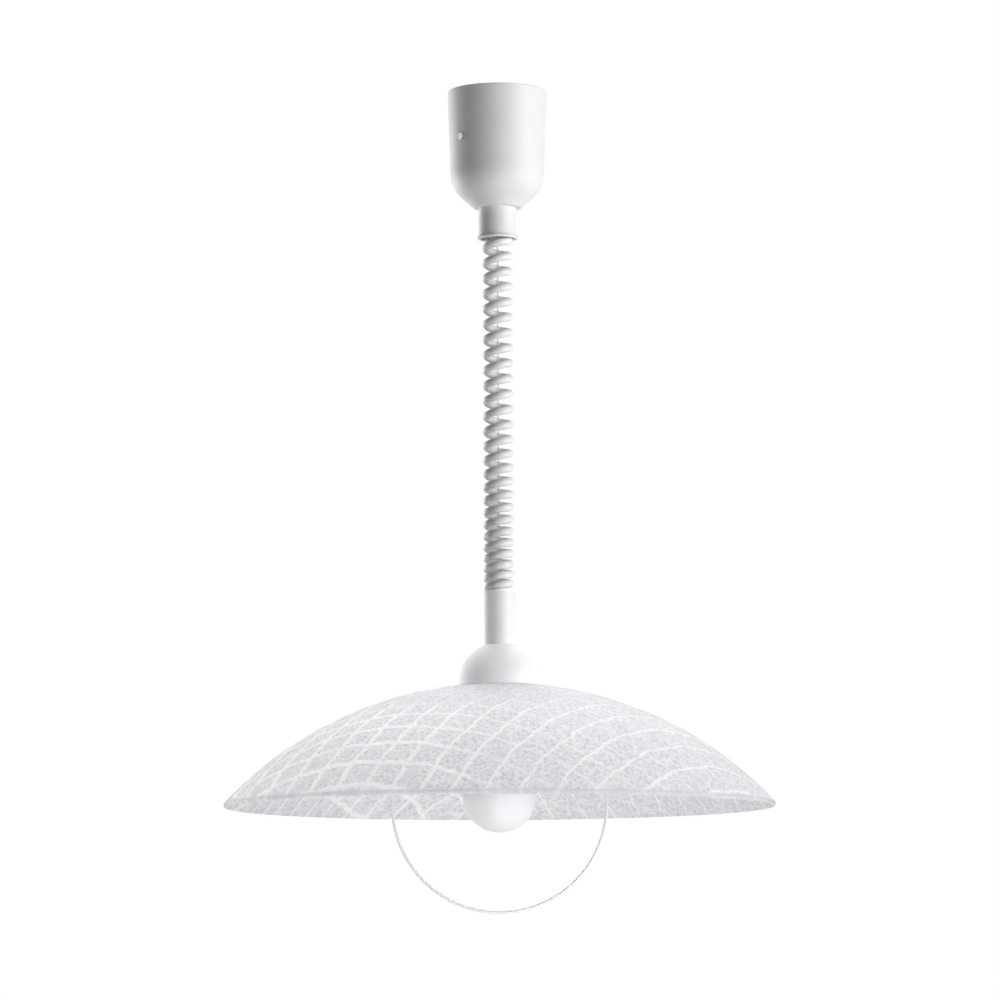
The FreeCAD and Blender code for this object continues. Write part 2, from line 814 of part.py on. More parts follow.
def terminal_barrels():
    barrels = []
    for sign in (-1, 1):
        x = sign * terminal_offset
        low = Vector(x, terminal_y, block_low_z + barrel_end_cover)
        high = Vector(x, terminal_y, block_top_z - barrel_end_cover)
        barrel = rod(barrel_radius, low, high).cut(drill(barrel_bore_radius, low, high))
        for z in terminal_screw_heights:
            mouth = Vector(x, terminal_y - barrel_radius, z)
            barrel = barrel.cut(sink(terminal_screw_radius + thread_gap, mouth, Vector(x, terminal_y, z)))
        barrels.append(in_cup(barrel))
    return group(barrels)


def terminal_screws():
    start = block_front_y - face_gap
    end = terminal_y - barrel_bore_radius / 2
    screws = []
    for sign in (-1, 1):
        x = sign * terminal_offset
        for z in terminal_screw_heights:
            screw = rod(terminal_screw_radius, Vector(x, start, z), Vector(x, end, z))
            screws.append(in_cup(screw.cut(driver_slot(terminal_screw_radius, x, start, z))))
    return group(screws)


def block_screw():
    front = block_front_y
    z = block_middle_z
    shank = rod(block_screw_radius, Vector(0, front, z), Vector(0, tab_offset + frame_sheet, z))
    head = rod(block_screw_head_radius, Vector(0, front - block_screw_head_height, z), Vector(0, front, z))
    return in_cup(tidy(shank.fuse(head)))


def cord_grip():
    """A pad on the terminal plate and a bridge that clamps the flex on it."""
    half = grip_length / 2
    low = grip_middle_z - grip_height / 2
    high = low + grip_height
    split = flex_top_offset + face_gap
    cuts = [drill(flex_radius + thread_gap, Vector(0, flex_top_offset, low),
                  Vector(0, flex_top_offset, high))]
    for sign in (-1, 1):
        x = sign * grip_screw_offset
        cuts.append(drill(grip_screw_radius + thread_gap, Vector(x, grip_front_y, grip_middle_z),
                          Vector(x, tab_offset, grip_middle_z)))
    pad = box((-half, split, low), (half, tab_offset, high))
    bridge = box((-half, grip_front_y, low), (half, split - 2 * face_gap, high))
    return group([in_cup(tidy(piece.cut(group(cuts)))) for piece in (pad, bridge)])


def grip_screws():
    z = grip_middle_z
    seat = grip_front_y
    screws = []
    for sign in (-1, 1):
        x = sign * grip_screw_offset
        shank = rod(grip_screw_radius, Vector(x, seat, z), Vector(x, tab_offset + frame_sheet, z))
        head = rod(block_screw_head_radius, Vector(x, seat - block_screw_head_height, z), Vector(x, seat, z))
        screws.append(in_cup(tidy(shank.fuse(head))))
    return group(screws)


def upper_flex_lead():
    """The end of the flex's sheath, from the bottom of the guide up past the cord grip."""
    place = Vector(0, flex_top_offset, 0)
    return in_cup(rod(flex_radius, place + Z_AXIS * guide_low_z, place + Z_AXIS * sheath_top_z))


def upper_core(sign):
    """One insulated core, from the end of the sheath into its terminal."""
    start = Vector(sign * core_spread, flex_top_offset, sheath_top_z)
    end = Vector(sign * terminal_offset, terminal_y, block_low_z)
    straight = Z_AXIS * (core_straight_share * (block_low_z - sheath_top_z))
    return in_cup(bent_rod([start, start + straight, end - straight, end], upper_core_bend, core_radius))


# ---------------------------------------------------------------- ceiling cup and sleeve

def cup_shell_points(inset):
    """The cup's outline at that depth under its surface, from the ceiling to the bottom."""
    start = cup_shoulder_start_radius - inset
    centre = cup_shoulder_start_radius - cup_shoulder_radius
    turn = math.radians(cup_shoulder_turn)
    radius = cup_shoulder_radius - inset
    side_z = -cup_side_height
    middle = (centre + radius * math.cos(turn / 2), side_z - radius * math.sin(turn / 2))
    end = (centre + radius * math.cos(turn), side_z - radius * math.sin(turn))
    bottom_z = cup_bottom_z + inset
    slope = math.tan(math.pi / 2 - turn)
    edge = (end[0] - (end[1] - bottom_z) / slope, bottom_z)
    return [(cup_top_radius - inset, 0), (start, side_z), (middle, end), edge]


def ceiling_cup():
    hole = sleeve_neck_radius + thread_gap
    shell = spin((0, 0), *cup_shell_points(0), (0, cup_bottom_z))
    hollow = spin((0, 0), *cup_shell_points(cup_wall), (0, cup_bottom_z + cup_wall))
    cup = shell.cut(hollow)
    cup = cup.cut(drill(hole, Vector(0, 0, cup_bottom_z), Vector(0, 0, cup_bottom_z + cup_wall)))
    for angle in (strap_angle, strap_angle + 180):
        inside = at(cup_shoulder_start_radius - cup_wall, angle, -lock_screw_drop)
        outside = at(cup_top_radius, angle, -lock_screw_drop)
        cup = cup.cut(drill(lock_screw_radius + thread_gap, inside, outside))
    return tidy(cup)


def outlet_sleeve():
    neck_top = cup_bottom_z + cup_wall + sleeve_ring_height + face_gap
    lip_top = sleeve_end_z + sleeve_lip_height
    nose = sleeve_lip_height / 2
    return spin(
        (sleeve_bore_radius, neck_top), (sleeve_bore_radius, sleeve_end_z),
        (sleeve_lip_radius - nose, sleeve_end_z),
        ((sleeve_lip_radius, sleeve_end_z + nose), (sleeve_lip_radius - nose, lip_top)),
        (sleeve_radius, lip_top), (sleeve_radius, cup_bottom_z), (sleeve_neck_radius, cup_bottom_z),
        (sleeve_neck_radius, neck_top))


def sleeve_ring():
    low = cup_bottom_z + cup_wall
    ring = tube(sleeve_neck_radius + sleeve_ring_width, sleeve_neck_radius + thread_gap, low,
                low + sleeve_ring_height)
    middle = sleeve_neck_radius + sleeve_ring_width / 2
    outside = sleeve_neck_radius + sleeve_ring_width
    half = sleeve_ring_notch_width / 2
    notches = []
    for i in range(sleeve_ring_notches):
        notch = box((middle, -half, low + sleeve_ring_notch_floor),
                    (outside + overrun, half, low + sleeve_ring_height + overrun))
        notch.rotate(ORIGIN, Z_AXIS, 360 / sleeve_ring_notches * i)
        notches.append(notch)
    return tidy(ring.cut(group(notches)))


# ---------------------------------------------------------------- flex and support cord

def spiral_flex():
    """One cable: straight out of the guide, round the coil, and straight down into the stem."""
    down = Vector(0, 0, -1)
    top = at(flex_top_offset, flex_top_angle, guide_low_z)
    stations = [(top, down), (top - Z_AXIS * flex_straight_end, down)]
    quarters = round(4 * coil_turns)
    for i in range(quarters + 1):
        turn = coil_turns * i / quarters
        angle = coil_top_angle - 360 * turn
        way = at(1, angle - 90, -coil_pitch(turn) / (2 * math.pi * coil_radius))
        stations.append((at(coil_radius, angle, coil_height(turn)), way.normalize()))
    end_turn = coil_turns + coil_tail_quarter / 360
    angle = coil_top_angle - 360 * end_turn
    inward = coil_tail_draw / (coil_tail_radius * math.pi / 2)
    slope = -coil_close_pitch / (2 * math.pi * coil_tail_radius)
    way = at(1, angle - 90, slope) - at(inward, angle, 0)
    stations.append((at(coil_tail_radius, angle, coil_height(end_turn)), way.normalize()))
    end = at(coil_end_offset, flex_low_angle, plug_top_z)
    stations += [(end + Z_AXIS * flex_straight_end, down), (end, down)]
    return cable("spiral_flex", stations, flex_radius, math.pi * coil_radius)


def support_cord():
    top = axle_z - 2 * support_cord_radius
    return rod(support_cord_radius, Vector(0, 0, plug_low_z), Vector(0, 0, top))


# ---------------------------------------------------------------- stem

def stem_tube():
    shoulder = plug_top_z
    mouth = stem_mouth_radius
    return spin(
        (mouth, shoulder), (mouth, stem_top_z - stem_mouth_bevel),
        (mouth + stem_mouth_bevel, stem_top_z), (stem_radius, stem_top_z), (stem_radius, stem_low_z),
        (stem_bore_radius, stem_low_z), (stem_bore_radius, shoulder))


def stem_plug():
    plug = tube(stem_bore_radius - thread_gap, support_cord_radius + running_gap, plug_low_z, plug_top_z)
    hole = drill(flex_hole_radius, at(coil_end_offset, flex_low_angle, plug_low_z),
                 at(coil_end_offset, flex_low_angle, plug_top_z))
    return plug.cut(hole)


def cord_ferrule():
    high = plug_low_z
    body = rod(ferrule_radius, Vector(0, 0, high - ferrule_length), Vector(0, 0, high))
    middle = high - ferrule_length / 2
    waist = tube(ferrule_radius + overrun, ferrule_radius - ferrule_crimp_depth,
                 middle - ferrule_crimp_length / 2, middle + ferrule_crimp_length / 2)
    return body.cut(waist)


def lower_flex_lead():
    low = plug_low_z - sheath_below_plug
    return rod(flex_radius, at(coil_end_offset, flex_low_angle, low),
               at(coil_end_offset, flex_low_angle, plug_top_z))


def lower_core(sign):
    """One insulated core, from the sheath through the nipple to the lampholder's terminal."""
    side = at(sign * core_spread, flex_low_angle + 90, 0)
    start = at(coil_end_offset, flex_low_angle, plug_low_z - sheath_below_plug) + side
    throat_top = side + Z_AXIS * (base_top_z + nipple_above_base)
    throat_low = side + Z_AXIS * (nipple_low_z - core_radius)
    terminal = Vector(sign * terminal_place, 0, core_top_z + terminal_height)
    straight = Z_AXIS * (core_straight_share * (start.z - throat_top.z))
    points = [start, start - straight, throat_top, throat_low, terminal + Z_AXIS * 2 * core_radius, terminal]
    return bent_rod(points, lower_core_bend, core_radius)


def stem_base():
    return tube(stem_bore_radius - thread_gap, nipple_radius + thread_gap, stem_low_z, base_top_z)


def threaded_nipple():
    return tube(nipple_radius, nipple_bore_radius, nipple_low_z, base_top_z + nipple_above_base)


def dome_cover():
    """A half sphere with a flat top where the stem stands on it."""
    outer_top = stem_low_z
    inner_top = outer_top - dome_wall
    flat = rise(dome_inner_radius, inner_top - dome_low_z)
    turn = math.radians(45)
    outer_middle = (dome_radius * math.cos(turn), dome_low_z + dome_radius * math.sin(turn))
    inner_middle = (dome_inner_radius * math.cos(turn), dome_low_z + dome_inner_radius * math.sin(turn))
    hole = nipple_radius + thread_gap
    return spin(
        (hole, inner_top), (flat, inner_top), (inner_middle, (dome_inner_radius, dome_low_z)),
        (dome_radius, dome_low_z), (outer_middle, (stem_radius, outer_top)), (hole, outer_top))


def nipple_nut():
    high = stem_low_z - dome_wall
    nut = hexagon(nipple_nut_flats, nut_low_z, high)
    return nut.cut(drill(nipple_radius + thread_gap, Vector(0, 0, nut_low_z), Vector(0, 0, high)))


# ---------------------------------------------------------------- lampholder

def holder_cap():
    top = holder_top_z
    neck_low = top - holder_neck_height
    low = top - holder_cap_height
    wall = holder_cap_wall
    bore = nipple_radius + thread_gap
    wide = holder_cap_radius
    return spin(
        (bore, top), (holder_neck_radius, top), (holder_neck_radius, neck_low + wall),
        (wide, neck_low - wall), (wide, low), (wide - wall, low), (wide - wall, neck_low - 2 * wall),
        (holder_neck_radius, neck_low - wall), (bore, neck_low - wall))


def holder_core():
    """The ceramic disc that carries the terminals and the screw shell."""
    disc = rod(core_disc_radius - face_gap, Vector(0, 0, core_low_z), Vector(0, 0, core_top_z))
    well = sink(core_well_radius, Vector(0, 0, core_top_z), Vector(0, 0, core_top_z - core_well_depth))
    return tidy(disc.cut(well))


def holder_terminals():
    low = core_top_z
    z = low + terminal_height / 2
    y = -terminal_length / 2
    blocks = []
    for sign in (-1, 1):
        x = sign * terminal_place
        block = box((x - terminal_width / 2, y, low), (x + terminal_width / 2, -y, low + terminal_height))
        hole = sink(holder_screw_radius + thread_gap, Vector(x, y, z), Vector(x, y + holder_screw_length, z))
        blocks.append(block.cut(hole))
    return group(blocks)


def holder_screws():
    y = -terminal_length / 2
    z = core_top_z + terminal_height / 2
    screws = []
    for sign in (-1, 1):
        x = sign * terminal_place
        face = y - holder_screw_head_height
        shank = rod(holder_screw_radius, Vector(x, y, z), Vector(x, y + holder_screw_length, z))
        head = rod(holder_screw_head_radius, Vector(x, face, z), Vector(x, y, z))
        screws.append(tidy(shank.fuse(head).cut(driver_slot(holder_screw_head_radius, x, face, z))))
    return group(screws)


def centre_contact():
    """A dished spring disc in the middle of the core's underside."""
    low = core_low_z - contact_thickness - contact_dish
    rim = contact_radius
    return spin((0, core_low_z), (rim, core_low_z), (rim, core_low_z - contact_thickness),
                (rim / 2, low), (0, low))


def screw_shell():
    outer = screw_shell_radius
    inner = outer - screw_shell_wall
    low = core_low_z - screw_shell_length
    hole = contact_radius + contact_clearance
    return spin((hole, core_low_z), (outer, core_low_z), (outer, low), (inner, low),
                (inner, core_low_z - screw_shell_wall), (hole, core_low_z - screw_shell_wall))


def holder_skirt():
    """The threaded body that goes down through the glass, with the flange that stands on it."""
    collar_top = flange_top_z + collar_height
    recess_z = core_top_z - collar_recess
    return spin(
        (collar_bore_radius, collar_top), (collar_radius, collar_top),
        (collar_radius, flange_top_z), (flange_radius, flange_top_z), (flange_radius, flange_low_z),
        (collar_radius, flange_low_z), (collar_radius, skirt_low_z), (skirt_bore_radius, skirt_low_z),
        (skirt_bore_radius, core_low_z), (core_disc_radius, core_low_z),
        (core_disc_radius, recess_z), (collar_bore_radius, recess_z))


def upper_gasket():
    inner = collar_radius + gasket_clearance
    ring = tube(flange_radius, inner, flange_low_z - gasket_blank, flange_low_z)
    return ring.cut(Part.makeSphere(glass_outer_radius + face_gap, Vector(0, 0, glass_centre_z)))


def lower_gasket():
    inner = collar_radius + gasket_clearance
    ring = tube(inner + lower_gasket_width, inner, lower_gasket_z, lower_gasket_z + gasket_blank)
    return ring.common(Part.makeSphere(glass_inner_radius - face_gap, Vector(0, 0, glass_centre_z)))


def shade_ring():
    high = bracket_low_z
    low = high - shade_ring_height
    place = shade_ring_radius + shade_ring_flute_offset
    ring = tube(shade_ring_radius, collar_radius + thread_gap, low, high)
    flutes = []
    for i in range(shade_ring_flutes):
        angle = 360 / shade_ring_flutes * i
        flutes.append(rod(shade_ring_flute_radius, at(place, angle, low - overrun),
                          at(place, angle, high - shade_ring_flute_stop)))
    return tidy(ring.cut(group(flutes)))


# ---------------------------------------------------------------- shade

def glass_shade():
    rim_turn = math.asin(shade_radius / glass_outer_radius)
    centre_turn = rim_turn / 2
    middle_radius = (glass_outer_radius + glass_inner_radius) / 2

    def on_sphere(radius, turn):
        return (radius * math.sin(turn), glass_centre_z + radius * math.cos(turn))

    tip = (middle_radius * math.sin(rim_turn) + glass_thickness / 2 * math.cos(rim_turn),
           glass_centre_z + middle_radius * math.cos(rim_turn) - glass_thickness / 2 * math.sin(rim_turn))
    hole = glass_hole_radius
    return spin(
        (hole, glass_centre_z + rise(glass_outer_radius, hole)),
        (on_sphere(glass_outer_radius, centre_turn), on_sphere(glass_outer_radius, rim_turn)),
        (tip, on_sphere(glass_inner_radius, rim_turn)),
        (on_sphere(glass_inner_radius, centre_turn), (hole, glass_centre_z + rise(glass_inner_radius, hole))))


# ---------------------------------------------------------------- bow

def bow_bracket():
    """A ring clamped under the glass, with an arm each side that slopes down to an ear."""
    half = bracket_arm_width / 2
    ear_outer = bow_radius - ear_inset
    ear_inner = ear_outer - bracket_sheet
    root = shade_ring_radius - bracket_sheet
    ear_top = pivot_z + ear_drop
    ring = tube(shade_ring_radius, collar_radius + 2 * running_gap, bracket_low_z, lower_gasket_z)
    side = outline(
        (root, bracket_low_z), (root, lower_gasket_z), (shade_ring_radius, lower_gasket_z),
        (ear_outer, ear_top), (ear_outer, pivot_z - ear_drop), (ear_inner, pivot_z - ear_drop),
        (ear_inner, ear_top - bracket_sheet), (shade_ring_radius, bracket_low_z))
    side.translate(Vector(0, -half, 0))
    right = side.extrude(Vector(0, bracket_arm_width, 0))
    left = right.mirror(ORIGIN, X_AXIS)
    hole = rod(bow_wire_radius + pin_gap, Vector(-bow_radius, 0, pivot_z), Vector(bow_radius, 0, pivot_z))
    return tidy(ring.fuse(right).fuse(left).cut(hole))


def pull_bow():
    """Wire: a pin in each ear, a straight leg down, and a half circle under the shade."""
    bend = bow_bend_radius
    diagonal = math.sqrt(0.5)
    slack = bend * (1 - diagonal)
    centre_z = pivot_z - bow_leg
    pin_start = bow_radius - ear_inset - bow_pin_length + bracket_sheet
    edges = []
    for sign in (-1, 1):
        x = sign * bow_radius
        pin_end = Vector(x - sign * bend, 0, pivot_z)
        leg_top = Vector(x, 0, pivot_z - bend)
        corner = Vector(x - sign * slack, 0, pivot_z - slack)
        leg_low = Vector(x, 0, centre_z)
        part = [Part.LineSegment(Vector(sign * pin_start, 0, pivot_z), pin_end).toShape(),
                Part.Arc(pin_end, corner, leg_top).toShape(),
                Part.LineSegment(leg_top, leg_low).toShape()]
        edges.append(part)
    lowest = Vector(0, 0, centre_z - bow_radius)
    side_x = bow_radius * diagonal
    side_z = centre_z - bow_radius * diagonal
    arc_left = Part.Arc(Vector(-bow_radius, 0, centre_z), Vector(-side_x, 0, side_z), lowest).toShape()
    arc_right = Part.Arc(lowest, Vector(side_x, 0, side_z), Vector(bow_radius, 0, centre_z)).toShape()
    spine = Part.Wire(edges[0] + [arc_left, arc_right] + edges[1][::-1])
    section = Part.Wire([Part.Circle(Vector(-pin_start, 0, pivot_z), X_AXIS, bow_wire_radius).toShape()])
    pipe = Part.BRepOffsetAPI.MakePipeShell(spine)
    pipe.add(section)
    pipe.build()
    pipe.makeSolid()
    return pipe.shape()


# ---------------------------------------------------------------- lamp

def bulb_outline(inset):
    """The globe and neck at that depth under the surface, up to the end inside the cap."""
    neck_top = bulb_top_z - tip_height - insulator_height - cap_length
    radius = bulb_radius - inset
    neck = bulb_neck_radius - inset
    turn = math.radians(bulb_shoulder_turn)
    join = (radius * math.cos(turn), bulb_centre_z + radius * math.sin(turn))
    # the neck's hollow curve is tangent to the globe at the join and upright where the neck starts
    curve = (join[0] - neck) / (1 - math.cos(turn))
    neck_z = join[1] + curve * math.sin(turn)
    hollow = (neck + curve * (1 - math.cos(turn / 2)), neck_z - curve * math.sin(turn / 2))
    side = (radius, bulb_centre_z)
    end = cap_radius - cap_ridge_height - cap_wall - running_gap - inset
    shoulder = neck_top - face_gap - inset
    top = neck_top + bulb_neck_length
    return [(0, bulb_centre_z - radius), (side, join), (hollow, (neck, neck_z)), (neck, shoulder),
            (end, shoulder), (end, top), (0, top)]


def bulb_glass():
    return spin(*bulb_outline(0)).cut(spin(*bulb_outline(bulb_wall)))


def bulb_cap():
    """A thin cap with a rounded thread, open where the globe's neck goes in."""
    high = bulb_top_z - tip_height - insulator_height
    low = high - cap_length
    root = cap_radius - cap_ridge_height
    inside = root - cap_wall
    mouth = cap_mouth_radius
    edge = mouth - cap_mouth_edge
    skirt_end = low + cap_skirt_length
    points = [(inside, low), (cap_radius, low), (cap_radius, skirt_end), (root, skirt_end)]
    for i in range(cap_ridges):
        start = skirt_end + cap_ridge_pitch * i
        points.append(((cap_radius, start + cap_ridge_pitch / 2), (root, start + cap_ridge_pitch)))
    points += [(root, high - cap_slant), (mouth, high), (edge, high), (edge, high - cap_wall),
               (inside, high - cap_slant - cap_wall)]
    return spin(*points)


def bulb_insulator():
    low = bulb_top_z - tip_height - insulator_height
    high = bulb_top_z - tip_height
    return spin((0, low), (insulator_radius, low), (insulator_top_radius, high), (0, high))


def bulb_contact():
    low = bulb_top_z - tip_height
    return spin((0, low), (tip_radius, low), (tip_top_radius, bulb_top_z), (0, bulb_top_z))


# ---------------------------------------------------------------- write them out

os.makedirs("parts", exist_ok=True)

nodes = {
    "mounting_bracket": mounting_bracket(),
    "clamp_bolts": clamp_bolts(),
    "clamp_nuts": clamp_nuts(),
    "reel_frame": reel_frame(),
    "cord_guide": cord_guide(),
    "guide_screws": guide_screws(),
    "reel_axle": reel_axle(),
    "axle_clips": axle_clips(),
    "friction_washer": friction_washer(),
    "terminal_block": terminal_block(),
    "terminal_barrels": terminal_barrels(),
    "terminal_screws": terminal_screws(),
    "block_screw": block_screw(),
    "cord_grip": cord_grip(),
    "grip_screws": grip_screws(),
    "upper_flex_lead": upper_flex_lead(),
    "upper_brown_core": upper_core(-1),
    "upper_blue_core": upper_core(1),
    "reel_drum": reel_drum(),
    "spring_cover": spring_cover(),
    "power_spring": power_spring(),
    "cord_winding": cord_winding(),
    "ceiling_cup": ceiling_cup(),
    "outlet_sleeve": outlet_sleeve(),
    "sleeve_ring": sleeve_ring(),
    "lock_screws": lock_screws(),
    "spiral_flex": spiral_flex(),
    "support_cord": support_cord(),
    "stem_tube": stem_tube(),
    "stem_plug": stem_plug(),
    "cord_ferrule": cord_ferrule(),
    "lower_flex_lead": lower_flex_lead(),
    "lower_brown_core": lower_core(-1),
    "lower_blue_core": lower_core(1),
    "stem_base": stem_base(),
    "threaded_nipple": threaded_nipple(),
    "dome_cover": dome_cover(),
    "nipple_nut": nipple_nut(),
    "holder_cap": holder_cap(),
    "holder_core": holder_core(),
    "holder_terminals": holder_terminals(),
    "holder_screws": holder_screws(),
    "centre_contact": centre_contact(),
    "screw_shell": screw_shell(),
    "holder_skirt": holder_skirt(),
    "upper_gasket": upper_gasket(),
    "lower_gasket": lower_gasket(),
    "shade_ring": shade_ring(),
    "glass_shade": glass_shade(),
    "bow_bracket": bow_bracket(),
    "pull_bow": pull_bow(),
    "bulb_glass": bulb_glass(),
    "bulb_cap": bulb_cap(),
    "bulb_insulator": bulb_insulator(),
    "bulb_contact": bulb_contact(),
}

for name, shape in nodes.items():
    shape.exportStep(f"parts/{name}.step")
    print(f"{name}: {len(shape.Solids)} solid(s), {shape.Volume:.1f} mm3, valid {shape.isValid()}")
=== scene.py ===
# %% [markdown]
# # A rise and fall pendant in white plastic and frosted glass
# The CAD model already holds every piece of this pendant at its real size, and it knows how
# the pieces move. This lesson gives it its looks. It goes from the view, through the light, the
# finishes and the curly flex, to the turned plastic pieces and the patterned glass shade.

# %% Load the frame
import json
import math

import bpy
import numpy as np
from mathutils import Matrix, Vector


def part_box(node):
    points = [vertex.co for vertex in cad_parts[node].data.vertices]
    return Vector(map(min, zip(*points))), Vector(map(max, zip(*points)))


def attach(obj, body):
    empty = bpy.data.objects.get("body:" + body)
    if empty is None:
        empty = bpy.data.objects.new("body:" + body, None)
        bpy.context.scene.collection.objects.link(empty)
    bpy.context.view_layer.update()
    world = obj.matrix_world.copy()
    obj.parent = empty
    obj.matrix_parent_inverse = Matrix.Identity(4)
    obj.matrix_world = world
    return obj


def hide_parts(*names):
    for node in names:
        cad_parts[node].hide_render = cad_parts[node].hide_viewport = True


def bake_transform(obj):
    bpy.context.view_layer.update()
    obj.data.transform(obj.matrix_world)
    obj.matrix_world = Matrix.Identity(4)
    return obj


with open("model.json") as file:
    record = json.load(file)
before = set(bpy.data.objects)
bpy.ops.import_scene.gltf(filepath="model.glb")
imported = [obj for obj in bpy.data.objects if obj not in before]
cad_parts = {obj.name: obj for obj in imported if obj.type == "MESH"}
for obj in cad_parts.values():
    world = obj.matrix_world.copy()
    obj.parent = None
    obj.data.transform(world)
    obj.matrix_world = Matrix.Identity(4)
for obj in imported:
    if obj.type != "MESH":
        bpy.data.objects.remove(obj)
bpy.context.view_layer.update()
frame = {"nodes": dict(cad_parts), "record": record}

MM = 0.001
nodes = frame["nodes"]

# %% [markdown]
# ## The view
# The shade's rim is seen a little from below while the ceiling cup's top edge curves upwards,
# so the camera stands low, looks up, and is far away with a long lens. The photograph's frame
# is square, and the lens is worked out from how many pixels wide it is.

# %% Camera
photo_width = 1000                # pixels
focal_length = 4595               # pixels
sensor_width = 36                 # millimetres
camera_place = Vector((0.0011, -3.345, -0.689))
camera_tilt = 6.57                # degrees above level
camera_roll = -0.22               # the photograph is not quite level

camera_data = bpy.data.cameras.new("camera")
camera_data.sensor_width = sensor_width
camera_data.lens = sensor_width * focal_length / photo_width
camera = bpy.data.objects.new("camera", camera_data)
camera.location = camera_place
camera.rotation_euler = (Matrix.Rotation(math.radians(90 + camera_tilt), 3, "X")
                         @ Matrix.Rotation(math.radians(camera_roll), 3, "Z")).to_euler()
bpy.context.scene.collection.objects.link(camera)
bpy.context.scene.camera = camera
bpy.context.scene.view_settings.view_transform = "Standard"
print("lens in millimetres:", camera_data.lens)

# %% [markdown]
# ## Shader maths as Python
# A finish is a small sum: a bit of noise here, a mask there. Nodes could be joined one by one,
# but a sum of ten nodes is hard to read. So one class wraps a socket and lets Python's own
# operators add the Math nodes, and one method makes every other node. Each finish is then a
# few lines that say what changes over the surface. The floor and the surroundings are made
# with the same classes.

# %% Sockets
class Reading:
    """A socket with one number for each point of a surface."""

    def __init__(self, finish, socket):
        self.finish = finish
        self.socket = socket

    def __add__(self, other):
        return self.finish.sum("ADD", self, other)

    def __sub__(self, other):
        return self.finish.sum("SUBTRACT", self, other)

    def __rsub__(self, other):
        return self.finish.sum("SUBTRACT", other, self)

    def __mul__(self, other):
        return self.finish.sum("MULTIPLY", self, other)

    def __truediv__(self, other):
        return self.finish.sum("DIVIDE", self, other)

    __radd__ = __add__
    __rmul__ = __mul__


print("sockets can be added, taken off, multiplied and divided")

# %% Nodes
class Nodes:
    """A node tree that is built from short expressions."""

    def __init__(self, tree):
        self.tree = tree

    def node(self, kind, settings, inputs, output=0):
        """One node: its settings first, then the values or links of its sockets."""
        made = self.tree.nodes.new(kind)
        for key, value in settings.items():
            setattr(made, key, value)
        for key, value in inputs.items():
            if isinstance(value, Reading):
                self.tree.links.new(value.socket, made.inputs[key])
            else:
                made.inputs[key].default_value = value
        return Reading(self, made.outputs[output]) if len(made.outputs) else None

    def sum(self, operation, *values):
        return self.node("ShaderNodeMath", {"operation": operation}, dict(enumerate(values)))

    def seen(self):
        """1 for the camera, reflections and what is seen through glass, and 0 for lighting."""
        camera_ray, glossy_ray, through_ray = [
            self.node("ShaderNodeLightPath", {}, {}, name)
            for name in ("Is Camera Ray", "Is Glossy Ray", "Is Transmission Ray")]
        return self.sum("MAXIMUM", self.sum("MAXIMUM", camera_ray, glossy_ray), through_ray)


print("node trees are ready")

# %% Finishes
class Finish(Nodes):
    """A material that is built from short expressions."""

    def __init__(self, name):
        self.material = bpy.data.materials.new(name)
        self.material.use_nodes = True
        super().__init__(self.material.node_tree)
        self.shader = self.tree.nodes["Principled BSDF"]
        self.place = self.node("ShaderNodeTexCoord", {}, {}, "Object")

    def part(self, axis):
        """One coordinate of the place on the surface, in millimetres."""
        return self.node("ShaderNodeSeparateXYZ", {}, {"Vector": self.place}, axis) * (1 / MM)

    def noise(self, size, detail=2.0, rough=0.5):
        """Soft noise from 0 to 1 whose blobs are about that size in millimetres."""
        return self.node("ShaderNodeTexNoise", {}, {
            "Vector": self.place, "Scale": 1 / (size * MM),
            "Detail": detail, "Roughness": rough})

    def ramp(self, value, low, high, start=0.0, end=1.0):
        """Goes smoothly from start to end while the value goes from low to high."""
        return self.node("ShaderNodeMapRange", {"interpolation_type": "SMOOTHSTEP"}, {
            "Value": value, "From Min": low, "From Max": high, "To Min": start, "To Max": end})

    def between(self, factor, first, second):
        """A colour between two others."""
        inputs = {0: factor}
        for key, value in ((6, first), (7, second)):
            inputs[key] = value if isinstance(value, Reading) else (*value, 1)
        return self.node("ShaderNodeMix", {"data_type": "RGBA"}, inputs, 2)

    def bump(self, height, depth):
        """A normal that follows a height from 0 to 1, that many millimetres deep."""
        return self.node("ShaderNodeBump", {}, {
            "Height": height, "Distance": depth * MM, "Strength": 1.0})

    def set(self, **inputs):
        """Sockets of the shader by name, with spaces written as underscores."""
        for key, value in inputs.items():
            socket = self.shader.inputs[key.replace("_", " ")]
            if isinstance(value, Reading):
                self.tree.links.new(value.socket, socket)
            else:
                socket.default_value = value
        return self.material


print("finishes are ready")

# %% [markdown]
# ## Studio light
# A white thing on a white ground is drawn only by its shading. A picture of a sky could light
# it, but soft lamps can be put where each edge needs them. A large one on the right makes the
# bright side, a smaller one behind on the left draws the pale strip along the left edge of
# each round piece, and the dim surroundings keep the dark stripe between them grey. The shade
# lamps are for the glass, the bow, the lamp in it and what stands on it, and the glass lamps
# are for the glass alone.

# %% Lamps
aim = Vector((0, 0, -0.30))
lamp_distance = 2.5               # metres


def panel(name, azimuth, elevation, watts, width=1.4, height=1.2):
    """A soft rectangular lamp. Azimuth 0 is the camera's side and 90 is to the right."""
    turn = math.radians(azimuth)
    lift = math.radians(elevation)
    level = math.cos(lift)
    way = Vector((math.sin(turn) * level, -math.cos(turn) * level, math.sin(lift)))
    data = bpy.data.lights.new(name, "AREA")
    data.shape = "RECTANGLE"
    data.size = width
    data.size_y = height
    data.energy = watts
    lamp = bpy.data.objects.new(name, data)
    lamp.location = aim + way * lamp_distance
    lamp.rotation_euler = way.to_track_quat("Z", "Y").to_euler()
    lamp.visible_camera = False
    bpy.context.scene.collection.objects.link(lamp)
    return lamp


